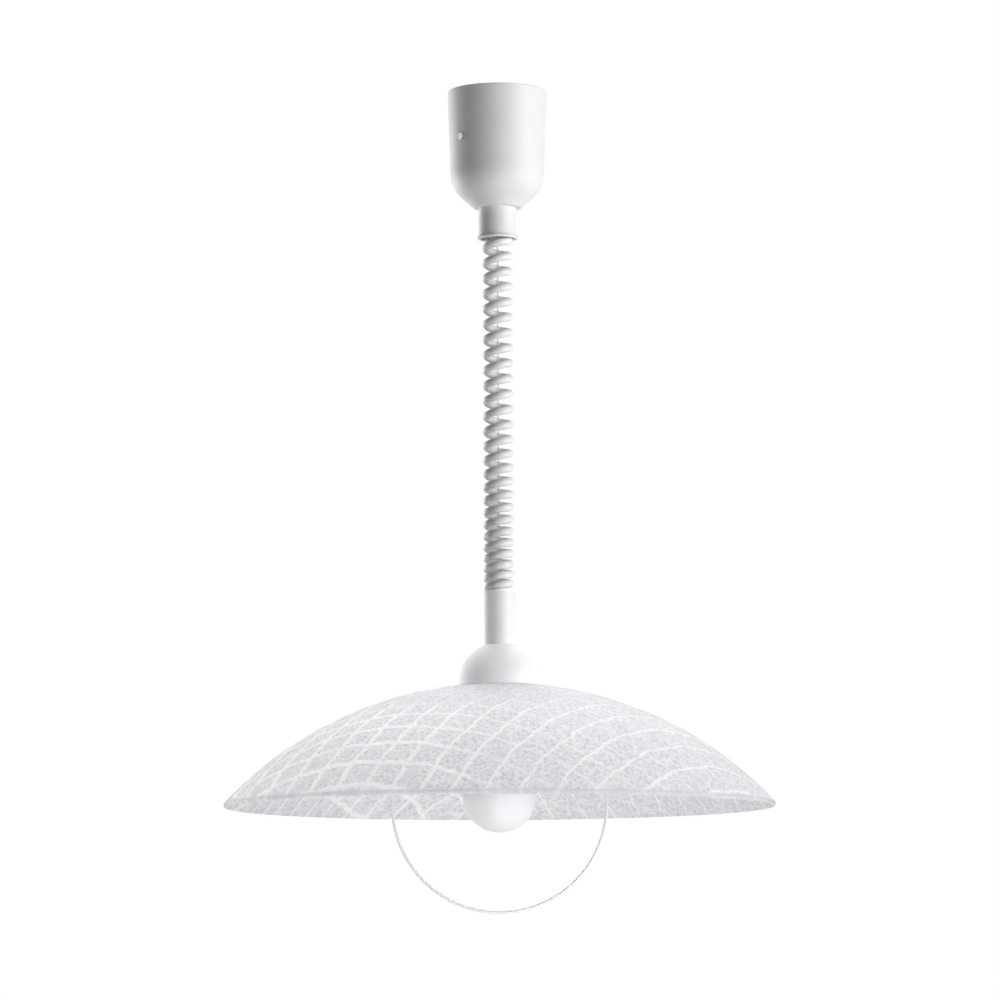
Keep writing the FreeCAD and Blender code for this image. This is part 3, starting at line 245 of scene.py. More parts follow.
key_lamp = panel("key_lamp", 66, 3, 63, 1.9, 1.6)
edge_lamp = panel("edge_lamp", -131, 3, 42, 1.5, 1.5)
low_lamp = panel("low_lamp", 12, -62, 27, 1.2, 1.2)
shade_lamps = [panel("shade_lamp_front", 0, 60, 13),
               panel("shade_lamp_left", -90, 45, 22),
               panel("shade_lamp_rear", 180, 60, 38),
               panel("shade_lamp_low", 0, -50, 14)]
glass_lamps = [panel("glass_lamp_low", -45, -38, 11),
               panel("glass_lamp_right", 60, 11, 54),
               panel("glass_lamp_left", -105, 8, 18)]
for lamp in (key_lamp, edge_lamp, low_lamp, *shade_lamps, *glass_lamps):
    print(lamp.name, lamp.data.energy, "watts")

# %% [markdown]
# ## Surroundings and floor
# The white ground is only seen by the camera, in reflections and through glass, so it adds no
# light. The floor lies far below. A plain grey sheet would end in a hard line, so it is pale
# in the middle, where a shadow can fall, and as white as the ground at its edges.

# %% Surroundings
ground_level = 1.0
fill_level = 0.085

world = bpy.data.worlds.new("studio")
world.use_nodes = True
bpy.context.scene.world = world
studio = Nodes(world.node_tree)
studio.tree.nodes.clear()
strength = fill_level + studio.seen() * (ground_level - fill_level)
sky = studio.node("ShaderNodeBackground", {}, {"Color": (1, 1, 1, 1), "Strength": strength})
studio.node("ShaderNodeOutputWorld", {}, {"Surface": sky})
print("surroundings:", fill_level, "as light and", ground_level, "as seen")

# %% Floor
floor_height = -3.6
floor_half = 4.0
floor_pale = 0.75                 # how white the camera sees it in the middle
floor_fade = (1.0, 3.8)           # metres from the middle, to as white as the surroundings
floor_grey = (0.86, 0.86, 0.86, 1)
floor_roughness = 0.9

floor_mesh = bpy.data.meshes.new("floor")
floor_corners = [(-floor_half, -floor_half, 0), (floor_half, -floor_half, 0),
                 (floor_half, floor_half, 0), (-floor_half, floor_half, 0)]
floor_mesh.from_pydata(floor_corners, [], [(0, 1, 2, 3)])
floor = bpy.data.objects.new("floor", floor_mesh)
floor.location.z = floor_height
bpy.context.scene.collection.objects.link(floor)

paint = Finish("floor_paint")
floor_mesh.materials.append(paint.set(Base_Color=floor_grey, Roughness=floor_roughness))
reach = paint.node("ShaderNodeVectorMath", {"operation": "LENGTH"}, {0: paint.place}, "Value")
paler = paint.node("ShaderNodeMapRange", {}, {
    "Value": reach, "From Min": floor_fade[0], "From Max": floor_fade[1],
    "To Min": floor_pale, "To Max": ground_level})
matt = Reading(paint, paint.shader.outputs["BSDF"])
white = paint.node("ShaderNodeEmission", {}, {})
blend = paint.node("ShaderNodeMixShader", {}, {0: paler * paint.seen(), 1: matt, 2: white})
paint.tree.links.new(blend.socket, paint.tree.nodes["Material Output"].inputs["Surface"])
print("floor at", floor_height)

# %% [markdown]
# ## Moulded plastic
# Satin white plastic is nearly one colour, but never quite: it has faint clouds from the
# mould, and its shine breaks up a little where hands have been. A plain colour would look
# like a drawing, so slow noise mixes two near colours, and a hair of bump gives the
# reflections the slight waver of flow marks.

# %% Plastics
def moulded(name, colour, shade, roughness, coat=0.0, cloud=18, grain=0.35):
    """Plastic with faint clouds between two colours and a slightly uneven shine."""
    finish = Finish(name)
    clouds = finish.noise(cloud, 3)
    speck = finish.noise(grain, 2)
    colour_now = finish.between(finish.ramp(clouds, 0.35, 0.65), colour, shade)
    shine = roughness - 0.04 + clouds * 0.06 + speck * 0.03
    waver = finish.bump(clouds * 0.7 + speck * 0.02, 0.12)
    return finish.set(Base_Color=colour_now, Roughness=shine, Normal=waver,
                      Coat_Weight=coat, Coat_Roughness=0.08, IOR=1.5)


white_plastic = moulded("white_plastic", (0.84, 0.84, 0.855), (0.82, 0.82, 0.84), 0.52)
natural_nylon = moulded("natural_nylon", (0.72, 0.71, 0.66), (0.68, 0.67, 0.62), 0.5)
holder_plastic = moulded("holder_plastic", (0.80, 0.80, 0.80), (0.77, 0.77, 0.77), 0.35, 0.1)
brown_sleeve = moulded("brown_insulation", (0.09, 0.035, 0.015), (0.07, 0.03, 0.012), 0.4)
blue_sleeve = moulded("blue_insulation", (0.03, 0.08, 0.35), (0.025, 0.07, 0.3), 0.4)
flex_plastic = moulded("flex_pvc", (0.87, 0.87, 0.88), (0.84, 0.84, 0.855), 0.42,
                       cloud=9, grain=0.5)
gasket_rubber = moulded("gasket_rubber", (0.62, 0.62, 0.62), (0.58, 0.58, 0.58), 0.7,
                        cloud=6, grain=0.25)
ceramic = moulded("ceramic", (0.80, 0.78, 0.74), (0.76, 0.74, 0.70), 0.2, 0.5, 8, 0.4)
print("plastics: 8")

# %% [markdown]
# ## Metal, paint and braid
# Zinc-plated steel shows the crystals of the plating as faint patches, and turned brass shows
# fine scratches. Both are one metal shader with two near colours, because what one sees of
# metal is mostly its reflections. The wire bow is steel under a thin coat of white powder
# paint. The support cord is a braid of nylon strands. They could be modelled one by one, but
# on a line this thin a wave texture shows as much.

# %% Metals
def plated(name, colour, dull, roughness, patch):
    """Metal with faint patches of crystals and fine scratches."""
    finish = Finish(name)
    patches = finish.node("ShaderNodeTexVoronoi", {}, {
        "Vector": finish.place, "Scale": 1 / (patch * MM)})
    scratch = finish.noise(0.25, 4, 0.7)
    colour_now = finish.between(finish.ramp(patches, 0.1, 0.7), colour, dull)
    return finish.set(Base_Color=colour_now, Metallic=1.0, Roughness=roughness + scratch * 0.2,
                      Normal=finish.bump(scratch, 0.01))


zinc = plated("zinc_steel", (0.62, 0.63, 0.64), (0.50, 0.51, 0.53), 0.25, 1.6)
brass = plated("brass", (0.72, 0.52, 0.22), (0.62, 0.44, 0.17), 0.2, 2.5)
print("metals: 2")

# %% Paint and braid
def powder_coat():
    """White powder paint: a faintly uneven skin."""
    finish = Finish("bow_paint")
    pebble = finish.noise(3.0, 2)
    cloud = finish.noise(14, 2)
    colour = finish.between(cloud, (0.82, 0.82, 0.83), (0.79, 0.79, 0.80))
    return finish.set(Base_Color=colour, Roughness=0.5 + pebble * 0.1,
                      Normal=finish.bump(pebble, 0.004))


bow_paint = powder_coat()
strand_scale = 1500.0
strand_waver = 2.0


def braided():
    """Thin nylon line: tiny crossing strands."""
    finish = Finish("cord_braid")
    bands = {"wave_type": "BANDS", "bands_direction": "DIAGONAL"}
    strands = finish.node("ShaderNodeTexWave", bands, {
        "Vector": finish.place, "Scale": strand_scale, "Distortion": strand_waver})
    colour = finish.between(strands, (0.62, 0.62, 0.62), (0.82, 0.82, 0.82))
    return finish.set(Base_Color=colour, Roughness=0.6, Normal=finish.bump(strands, 0.05))


cord_braid = braided()
print("paint and braid: 2")

# %% [markdown]
# ## Cords
# The flex is one cable. It leaves the guide under the reel, winds down in about twenty-five
# turns that close up towards the bottom, and goes into the stem. Its route is a smooth spline,
# and the cable is a mesh tube along the points read from that spline. The turns open when the
# pendant is pulled down.

# %% Routes
def smooth_route(control_points, steps):
    """Points along a smooth spline that has these control points."""
    curve = bpy.data.curves.new("route", "CURVE")
    curve.dimensions = "3D"
    curve.resolution_u = steps
    spline = curve.splines.new("NURBS")
    spline.points.add(len(control_points) - 1)
    for point, place in zip(spline.points, control_points):
        point.co = (*place, 1)
    spline.order_u = 3
    spline.use_endpoint_u = True
    holder = bpy.data.objects.new("route", curve)
    mesh = bpy.data.meshes.new_from_object(holder)
    route = np.array([vertex.co for vertex in mesh.vertices])
    bpy.data.meshes.remove(mesh)
    bpy.data.objects.remove(holder)
    bpy.data.curves.remove(curve)
    return route


def route_length(route):
    return float(np.linalg.norm(np.diff(route, axis=0), axis=1).sum())


def around(radius, angle, height):
    """The point at that distance and direction, in degrees, from the pendant's axis."""
    turn = math.radians(angle)
    return (radius * math.cos(turn), radius * math.sin(turn), height)


print("once round a circle of one metre:",
      round(route_length([around(1, angle, 0) for angle in range(0, 361, 5)]), 2), "m")

# %% Tubes
def make_piece(name, vertices, faces, finish):
    """A smooth mesh object with a finish, in the scene."""
    mesh = bpy.data.meshes.new(name)
    mesh.from_pydata([tuple(v) for v in vertices], [], faces)
    mesh.validate()
    mesh.shade_smooth()
    mesh.materials.append(finish)
    piece = bpy.data.objects.new(name, mesh)
    bpy.context.scene.collection.objects.link(piece)
    return piece


tube_start_side = (0.3, 0.9, 0.1)


def tube_along(name, route, radius, sides, finish):
    """A closed round tube along a route. Its vertices come ring by ring."""
    steps = np.diff(route, axis=0)
    ways = np.vstack([steps[:1], steps[1:] + steps[:-1], steps[-1:]])
    ways /= np.linalg.norm(ways, axis=1)[:, None]
    side = np.cross(ways[0], tube_start_side)
    turns = 2 * math.pi * np.arange(sides) / sides
    cosines, sines = np.cos(turns), np.sin(turns)
    vertices = []
    for place, way in zip(route, ways):
        side = side - way * np.dot(side, way)
        side /= np.linalg.norm(side)
        other = np.cross(way, side)
        vertices.append(place + radius * (np.outer(cosines, side) + np.outer(sines, other)))
    faces = []
    for ring in range(len(route) - 1):
        here, after = ring * sides, (ring + 1) * sides
        for i in range(sides):
            j = (i + 1) % sides
            faces.append((here + i, here + j, after + j, after + i))
    faces.append(tuple(range(sides))[::-1])
    faces.append(tuple((len(route) - 1) * sides + i for i in range(sides)))
    return make_piece(name, np.concatenate(vertices), faces, finish)


print("a piece is a smooth mesh with one finish")

# %% Sizes of the flex
flex_radius = 2.95 * MM
coil_radius = 8.45 * MM
coil_turns = 25.25
even_turns = 11.45                # turns of the open pitch, before it closes up
open_pitch = 11.4 * MM
close_pitch = 6.9 * MM
points_a_turn = 16
flex_top_offset = 7.6 * MM
flex_top_angle = 132
coil_top_angle = 72
lead_drop = 8.0 * MM
rest_turns = 0.375                # the stretch that lies on the stem's mouth
tail_radius = 7.2 * MM
tail_drop = 11.0 * MM
tail_offset = 6.0 * MM
tail_angle = 62                   # degrees from the last turn to the straight end
guide_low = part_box("cord_guide")[0].z
plug_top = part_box("stem_plug")[1].z
straight_end = 2 * flex_radius
coil_top = guide_low - straight_end - lead_drop
print("the flex hangs from", round(guide_low, 4), "to", round(plug_top, 4))

# %% Route of the flex
# a spline of order 3 passes inside its control points, by this share of their distance
step_angle = 2 * math.pi / points_a_turn
inside_share = 0.75 + 0.25 * math.cos(step_angle)


def coil_height(turn):
    """The height of the coil's middle line after that many turns."""
    closed = max(0.0, turn - even_turns)
    closing = (open_pitch - close_pitch) / (coil_turns - even_turns)
    return coil_top - open_pitch * turn + closing * closed ** 2 / 2


flex_route = [around(flex_top_offset, flex_top_angle, guide_low),
              around(flex_top_offset, flex_top_angle, guide_low - straight_end / 2),
              around(flex_top_offset, flex_top_angle, guide_low - straight_end),
              around(coil_radius, flex_top_angle - 14, coil_top + 0.34 * lead_drop)]
for i in range(-1, round((coil_turns + rest_turns) * points_a_turn) + 1):
    turn = i / points_a_turn
    flex_route.append(around(coil_radius / inside_share, coil_top_angle - 360 * turn,
                             coil_height(turn)))
low_angle = coil_top_angle - 360 * (coil_turns + 0.25) - tail_angle
tail_height = coil_height(coil_turns + rest_turns)
flex_route += [around(coil_radius, low_angle - 8, tail_height - 0.2 * tail_drop),
               around(tail_radius, low_angle - 26, tail_height - 0.42 * tail_drop),
               around(tail_offset * 1.06, low_angle - 26, tail_height - 0.7 * tail_drop),
               around(tail_offset, low_angle, plug_top + straight_end),
               around(tail_offset, low_angle, plug_top + straight_end / 2),
               around(tail_offset, low_angle, plug_top)]
print("control points of the flex:", len(flex_route))

# %% The curly flex
flex_steps = 3
flex_sides = 20
spiral_route = smooth_route(flex_route, flex_steps)
spiral_cable = tube_along("spiral_cable", spiral_route, flex_radius, flex_sides, flex_plastic)
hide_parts("spiral_flex")
print("rings of the flex:", len(spiral_route))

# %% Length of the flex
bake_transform(spiral_cable)
route_length(spiral_route)
print("flex:", round(route_length(spiral_route), 3), "m in", coil_turns, "turns")

# %% The support cord
line_radius = 0.4 * MM
line_sides = 12
line_low, line_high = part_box("support_cord")
line_route = np.array([(0, 0, line_high.z), (0, 0, line_low.z)])
support_line = tube_along("support_line", line_route, line_radius, line_sides, cord_braid)
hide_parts("support_cord")
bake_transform(support_line)
print("support cord:", round(line_high.z - line_low.z, 3), "m")

# %% [markdown]
# ## Turned pieces
# The cup, the sleeve, the stem, the dome and the globe are all round, so each is an outline
# turned about the pendant's axis. Real edges are never sharp, so an outline's corner can have
# a small radius. Weighted normals keep the long plain faces even beside those small ones.

# %% Outlines
def rounded(corners, steps=5):
    """A closed outline from (radius, height, corner radius), all in millimetres."""
    points = []
    count = len(corners)
    for i in range(count):
        here = np.array(corners[i][:2], float)
        bend = corners[i][2]
        if bend == 0:
            points.append(here)
            continue
        before = np.array(corners[i - 1][:2], float) - here
        after = np.array(corners[(i + 1) % count][:2], float) - here
        before /= np.linalg.norm(before)
        after /= np.linalg.norm(after)
        half = math.acos(np.clip(np.dot(before, after), -1, 1)) / 2
        centre = here + (before + after) / np.linalg.norm(before + after) * bend / math.sin(half)
        start = here + before * bend / math.tan(half) - centre
        end = here + after * bend / math.tan(half) - centre
        sweep = math.pi - 2 * half
        for k in range(steps + 1):
            share = k / steps
            a = math.sin((1 - share) * sweep) / math.sin(sweep)
            b = math.sin(share * sweep) / math.sin(sweep)
            points.append(centre + start * a + end * b)
    return np.array(points)


print("points of a square with round corners:",
      len(rounded([(1, 1, 0.2), (-1, 1, 0.2), (-1, -1, 0.2), (1, -1, 0.2)])))

# %% Turning an outline
plain_face_weight = 80            # how much more a large face counts for the shading


def turned(name, outline, finish, segments=160):
    """The solid that a closed outline, in millimetres, makes round the pendant's axis."""
    count = len(outline)
    on_axis = outline[:, 0] < 1e-6
    vertices = []
    index = np.zeros((count, segments), int)
    for i, (radius, height) in enumerate(outline * MM):
        if on_axis[i]:
            index[i, :] = len(vertices)
            vertices.append((0, 0, height))
            continue
        for k in range(segments):
            turn = 2 * math.pi * k / segments
            index[i, k] = len(vertices)
            vertices.append((radius * math.cos(turn), radius * math.sin(turn), height))
    faces = []
    for i in range(count):
        j = (i + 1) % count
        if on_axis[i] and on_axis[j]:
            continue
        for k in range(segments):
            n = (k + 1) % segments
            ring = [index[i, k], index[j, k], index[j, n], index[i, n]]
            faces.append(tuple(int(v) for v in dict.fromkeys(ring)))
    piece = make_piece(name, vertices, faces, finish)
    even = piece.modifiers.new("even_faces", "WEIGHTED_NORMAL")
    even.weight = plain_face_weight
    return piece


def stand_for(piece, node, body):
    """The piece takes a CAD node's place and moves with its body."""
    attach(piece, body)
    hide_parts(node)
    print(piece.name, "faces:", len(piece.data.polygons))


print("a turned piece has 160 segments where nothing else is said")

# %% [markdown]
# ## Ceiling cup and sleeve
# The cup's side leans in a little as it goes down, turns round a generous shoulder and runs
# on as a cone to a small flat, where the sleeve for the flex comes out. The outline is drawn
# once, and drawn again one wall further in for the inside.

# %% Ceiling cup
cup_top = 36.5                    # millimetres, as are all outlines
cup_taper = 1.8
cup_side = 60.0
shoulder_radius = 26.0
shoulder_turn = 49.0              # degrees
cup_wall = 2.0
shoulder_steps = 14
cup_segments = 192
cup_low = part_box("ceiling_cup")[0].z / MM
sleeve_hole = 13.45
rim_round = 0.6
flat_round = 1.2
hole_round = 0.3


def cup_line(inset):
    """The cup's line at that depth under its surface, from the rim to the small flat."""
    centre = cup_top - cup_taper - shoulder_radius
    radius = shoulder_radius - inset
    line = [(cup_top - inset, 0, 0), (cup_top - cup_taper - inset, -cup_side, 0)]
    for i in range(1, shoulder_steps + 1):
        turn = math.radians(shoulder_turn * i / shoulder_steps)
        line.append((centre + radius * math.cos(turn), -cup_side - radius * math.sin(turn), 0))
    bottom = cup_low + inset
    drop = line[-1][1] - bottom
    line.append((line[-1][0] - drop * math.tan(math.radians(shoulder_turn)), bottom, 0))
    return line


cup_outside = cup_line(0)
cup_inside = cup_line(cup_wall)
cup_outside[0] = (cup_top, 0, rim_round)
cup_outside[-1] = (*cup_outside[-1][:2], flat_round)
cup_inside[0] = (cup_top - cup_wall, 0, rim_round)
cup_hole = [(sleeve_hole, cup_low, hole_round), (sleeve_hole, cup_low + cup_wall, hole_round)]
cup_outline = rounded(cup_outside + cup_hole + cup_inside[::-1])
cup_shell = turned("cup_shell", cup_outline, white_plastic, cup_segments)
stand_for(cup_shell, "ceiling_cup", "cup")

# %% Outlet sleeve
sleeve_low, sleeve_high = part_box("outlet_sleeve")
sleeve_bore = 12.2
sleeve_radius = 14.0
sleeve_neck = 13.4
lip_radius = 15.0
lip_height = 2.4
sleeve_foot = sleeve_low.z / MM
sleeve_top = sleeve_high.z / MM
lip_round = 1.1
sleeve_outline = rounded([
    (sleeve_bore, sleeve_top, 0.3), (sleeve_bore, sleeve_foot, 0.5),
    (lip_radius, sleeve_foot, lip_round), (lip_radius, sleeve_foot + lip_height, lip_round),
    (sleeve_radius, sleeve_foot + lip_height, 0.3), (sleeve_radius, cup_low, 0.1),
    (sleeve_neck, cup_low, 0.1), (sleeve_neck, sleeve_top, 0.3)])
sleeve_shell = turned("sleeve_shell", sleeve_outline, white_plastic)
stand_for(sleeve_shell, "outlet_sleeve", "cup")

# %% [markdown]
# ## Stem and dome
# The stem is a plain tube with a bevelled mouth that takes the end of the flex. The dome is a
# half round cap that hides the lampholder's top and the hole in the glass. Both could be cut
# from ready-made shapes, but a turned outline gives the bevel and the wall in one go.

# %% Stem tube
stem_radius = 11.7
stem_bore = 10.2
mouth_radius = 9.7
mouth_bevel = 1.2
stem_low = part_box("stem_tube")[0].z / MM
stem_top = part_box("stem_tube")[1].z / MM
plug_height = plug_top / MM
stem_outline = rounded([
    (mouth_radius, plug_height, 0), (mouth_radius, stem_top - mouth_bevel, 0.4),
    (mouth_radius + mouth_bevel, stem_top, 0.25), (stem_radius, stem_top, 0.3),
    (stem_radius, stem_low, 0.2), (stem_bore, stem_low, 0), (stem_bore, plug_height, 0)])
stem_shell = turned("stem_shell", stem_outline, white_plastic)
stand_for(stem_shell, "stem_tube", "lamp")

# %% Dome cap
dome_radius = 32.0
dome_wall = 1.6
dome_steps = 26
dome_segments = 176
nipple_hole = 5.05
edge_slope = 0.18                 # the dome's edge leans down with the glass under it
dome_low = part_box("dome_cover")[0].z / MM


def dome_line(radius, top):
    """A quarter circle from its widest place up to a flat at that height."""
    end = math.asin((top - dome_low) / radius)
    turns = [end * i / dome_steps for i in range(dome_steps + 1)]
    return [(radius * math.cos(turn), dome_low + radius * math.sin(turn), 0) for turn in turns]


outer_dome = dome_line(dome_radius, stem_low)
inner_dome = dome_line(dome_radius - dome_wall, stem_low - dome_wall)
outer_dome[0] = (dome_radius, dome_low - edge_slope, 0.15)
dome_hole = [(nipple_hole, stem_low, 0), (nipple_hole, stem_low - dome_wall, 0)]
dome_outline = rounded(outer_dome + dome_hole + inner_dome[::-1])
dome_shell = turned("dome_shell", dome_outline, white_plastic, dome_segments)
stand_for(dome_shell, "dome_cover", "lamp")

# %% [markdown]
# ## Globe lamp
# The lamp is opal glass: milky all through, with a soft shine. Its outline is the globe, a
# hollow curve and the neck, and the same line again a wall further in. A lamp that is lit
# would need light of its own, but in the photograph it is off, so a little light under the
# surface is enough.

# %% Globe
bulb_radius = 27.0
bulb_neck = 13.6
bulb_turn = 48.0
bulb_wall = 1.0
bulb_steps = 40
neck_steps = 8
bulb_segments = 128
neck_end = 11.75
bulb_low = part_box("bulb_glass")[0].z / MM
bulb_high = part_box("bulb_glass")[1].z / MM
cap_gap = 0.1
cap_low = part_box("bulb_cap")[0].z / MM - cap_gap
bulb_centre = bulb_low + bulb_radius


def globe_line(inset):
    """From the bottom of the globe up over its side and the hollow curve to the neck's end."""
    radius = bulb_radius - inset
    neck = bulb_neck - inset
    end = math.radians(bulb_turn)
    line = []
    for i in range(bulb_steps + 1):
        turn = -math.pi / 2 + (end + math.pi / 2) * i / bulb_steps
        line.append((max(0.0, radius * math.cos(turn)), bulb_centre + radius * math.sin(turn), 0))
    join_radius, join_height = line[-1][:2]
    curve = (join_radius - neck) / (1 - math.cos(end))
    for i in range(1, neck_steps + 1):
        turn = end * (1 - i / neck_steps)
        line.append((neck + curve * (1 - math.cos(turn)),
                     join_height + curve * (math.sin(end) - math.sin(turn)), 0))
    line.append((neck, cap_low - inset, 0))
    line.append((neck_end - inset, cap_low - inset, 0))
    line.append((neck_end - inset, bulb_high, 0))
    return line


globe_outline = rounded(globe_line(0) + globe_line(bulb_wall)[::-1])
print("points of the globe's outline:", len(globe_outline))

# %% Opal glass
light_reach = 0.01                # metres under the surface


def opal():
    """Milky glass: faint clouds, and a little light that spreads under the surface."""
    finish = Finish("opal_glass")
    cloud = finish.noise(12, 2)
    colour = finish.between(cloud, (0.86, 0.86, 0.875), (0.83, 0.83, 0.85))
    return finish.set(Base_Color=colour, Roughness=0.5 + cloud * 0.06,
                      Normal=finish.bump(cloud, 0.05), Subsurface_Weight=0.3,
                      Subsurface_Radius=(light_reach, light_reach, light_reach))


opal_glass = opal()
globe_shell = turned("globe_shell", globe_outline, opal_glass, bulb_segments)
stand_for(globe_shell, "bulb_glass", "bulb")

# %% [markdown]
# ## The glass shade
# The shade is a flat sheet of patterned glass that was slumped over a form, so it is a cap of
# a sphere. One side has fine crackle all over. Two families of paler lines cross on it as a
# lattice. Seen from above, the steep lines are straight and stand closer together towards the
# right, and the flatter ones bend a little. All of them wander, are broader on the left and
# finer at the rear. A picture of the lattice could be laid on the sheet, but lines that are
# sums stay sharp from close by. The lattice stands a hair above the sheet, so the mesh itself
# is raised along the lines, and the finish uses the same sums as the mesh to find them.

# %% Lattice sizes
steep_angle = 56.0                # degrees from +X to the steeper family of lines
steep_squeeze = 0.00062           # its lines stand closer together towards the right
steep_spacing = 22.5              # millimetres
steep_start = -19.7               # where one of its lines passes the axis
flat_slope = -0.464               # of the flatter family, which bends a little
flat_bend = 0.00059
flat_spacing = 21.0
flat_start = -11.5
flat_family_fade = (-70, 10)      # the flatter family is strongest on the left
line_half_width = 1.1
line_spread = (-90, 60, 0.62, 1.1)  # broader on the left: places, and what the gap is times
far_spread = (0, 150, 1.0, 1.7)   # and finer at the rear
line_height = 0.26
lattice_fade = (80, 125)          # from no lines to full lines, in distance from the axis
wander = ((0.7, 53.0, 0.4), (0.45, 23.0, 1.9), (0.3, 9.0, 4.1))   # size, wavelength, phase
wander_drift = 0.05               # the phase's change for each millimetre across
print("a line leaves its course by", sum(size for size, _, _ in wander), "mm at most")

# %% Lattice sums
def lattice_families(x, y):
    """For both families: distance along and across a line, and the lines' spacing."""
    turn = math.radians(steep_angle)
    steep_across = y * math.cos(turn) - x * math.sin(turn)
    steep_across = steep_across - steep_across * steep_across * steep_squeeze - steep_start
    steep_along = x * math.cos(turn) + y * math.sin(turn)
    lean = 1 / math.hypot(1, flat_slope)
    flat_across = (y - x * flat_slope - x * x * flat_bend - flat_start) * lean
    return (steep_along, steep_across, steep_spacing), (x, flat_across, flat_spacing * lean)


def wandered(along, across, spacing, sine):
    """How far it is across to the nearest line, counted in lines and with the lines' wander."""
    total = across
    for size, wavelength, phase in wander:
        wave = along * (2 * math.pi / wavelength) + across * wander_drift + phase
        total = total + sine(wave) * size
    return total / spacing


def lattice_mask(x, y):
    """1 on the lattice's lines and 0 between them, for places in millimetres."""
    mask = np.zeros_like(x)
    width_here = np.interp(x, line_spread[:2], line_spread[2:])
    width_there = np.interp(y, far_spread[:2], far_spread[2:])
    for along, across, spacing in lattice_families(x, y):
        lines = wandered(along, across, spacing, np.sin)
        gap = np.abs(lines - np.round(lines)) * spacing * width_here * width_there
        mask = np.maximum(mask, np.clip((line_half_width * 1.6 - gap) / line_half_width, 0, 1))
    return mask * mask * (3 - 2 * mask)


across_sheet = np.linspace(-150, 150, 301)
line_share = lattice_mask(across_sheet, across_sheet * 0 - 50).mean()
print("share of one straight cut that lies on a line:", round(float(line_share), 2))

# %% Shade outline
shade_radius = 200.0
glass_thickness = 4.0
glass_hole = 21.0
outer_radius = 273.385            # of the sphere
shade_segments = 720
outer_rings = 128
inner_rings = 60
rim_steps = 8
dome_gap = 0.1
dome_foot = dome_radius - dome_wall
glass_centre = dome_low - dome_gap - math.sqrt(outer_radius ** 2 - dome_foot ** 2)


def shade_line():
    """The shade's outline: over the outside, round the rim and back along the inside."""
    inner_radius = outer_radius - glass_thickness
    middle_radius = (outer_radius + inner_radius) / 2
    rim_turn = math.asin(shade_radius / outer_radius)

    def on_sphere(radius, turn):
        return radius * math.sin(turn), glass_centre + radius * math.cos(turn)

    line = []
    start = math.asin(glass_hole / outer_radius)
    for i in range(outer_rings + 1):
        line.append(on_sphere(outer_radius, start + (rim_turn - start) * i / outer_rings))
    middle = on_sphere(middle_radius, rim_turn)
    for i in range(1, rim_steps):
        turn = math.pi / 2 - rim_turn - math.pi * i / rim_steps
        line.append((middle[0] + glass_thickness / 2 * math.cos(turn),
                     middle[1] + glass_thickness / 2 * math.sin(turn)))
    start = math.asin(glass_hole / inner_radius)
    for i in range(inner_rings + 1):
        line.append(on_sphere(inner_radius, rim_turn + (start - rim_turn) * i / inner_rings))
    return np.array(line)


shade_outline = shade_line()
print("points of the shade's outline:", len(shade_outline))

# %% Frosted glass
line_raggedness = 1.8             # millimetres that a line's edge goes in and out
crackle_scale = 260.0
crackle_bend_scale = 300.0
crackle_bend = (0.004, 0.004, 0.004)  # metres that the cracks are bent aside
clear_glass = (0.90, 0.90, 0.91)
deep_glass = (0.53, 0.54, 0.56)
glass_relief = 0.35               # millimetres


def frosted():
    """Frosted sheet glass: fine crackle, and the lattice's paler lines."""
    finish = Finish("shade_glass")
    x = finish.part(0)
    y = finish.part(1)

    # the lattice: paler where the gap to the nearest line is small
    ragged = finish.noise(3.0, 3, 0.6) * line_raggedness - line_raggedness / 2
    masks = []
    for along, across, spacing in lattice_families(x, y):
        lines = wandered(along, across, spacing, lambda value: finish.sum("SINE", value))
        gap = finish.sum("PINGPONG", lines, 0.5) * spacing
        gap = gap * finish.ramp(x, *line_spread) * finish.ramp(y, *far_spread)
        masks.append(finish.ramp(gap + ragged, 0.5 * line_half_width, 1.7 * line_half_width,
                                 1.0, 0.0))
    masks[1] = masks[1] * finish.ramp(x, *flat_family_fade, 1.0, 0.45)
    broad_patches = finish.ramp(finish.noise(26, 2), 0.3, 0.6, 0.65, 1.0)
    small_patches = finish.ramp(finish.noise(6, 2), 0.3, 0.5, 0.6, 1.0)
    from_axis = finish.sum("SQRT", x * x + y * y)
    lines = finish.sum("MAXIMUM", *masks) * (broad_patches * small_patches)
    lines = lines * finish.ramp(from_axis, *lattice_fade)

    # the sheet: swirls, and cracks that are bent aside by noise
    swirl = finish.ramp(finish.noise(3.6, 3, 0.65), 0.3, 0.7)
    bend = finish.node("ShaderNodeTexNoise", {}, {
        "Vector": finish.place, "Scale": crackle_bend_scale}, 1)
    bent = finish.node("ShaderNodeVectorMath", {"operation": "MULTIPLY_ADD"}, {
        0: bend, 1: crackle_bend, 2: finish.place})
    cracks = finish.node("ShaderNodeTexVoronoi", {"feature": "DISTANCE_TO_EDGE"}, {
        "Vector": bent, "Scale": crackle_scale})
    crackle = finish.ramp(cracks, 0.0, 0.3)

    # the rim is smooth: 1 on the sheet, and less on the last millimetre
    sheet = finish.ramp(from_axis, shade_radius - 0.9, shade_radius + 0.1, 1.0, 0.3)
    depth = (crackle * 0.45 + swirl * 0.55) * sheet + (1 - sheet) * 0.7
    colour = finish.between(lines * sheet, finish.between(depth, clear_glass, deep_glass),
                            (1.0, 1.0, 1.0))
    height = (crackle * 0.35 + swirl * 0.25 + lines * 0.6) * sheet
    return finish.set(Base_Color=colour, Roughness=0.5 + crackle * 0.12,
                      Normal=finish.bump(height, glass_relief),
                      Transmission_Weight=0.5, IOR=1.3)


shade_glass = frosted()
print("nodes of the glass finish:", len(shade_glass.node_tree.nodes))

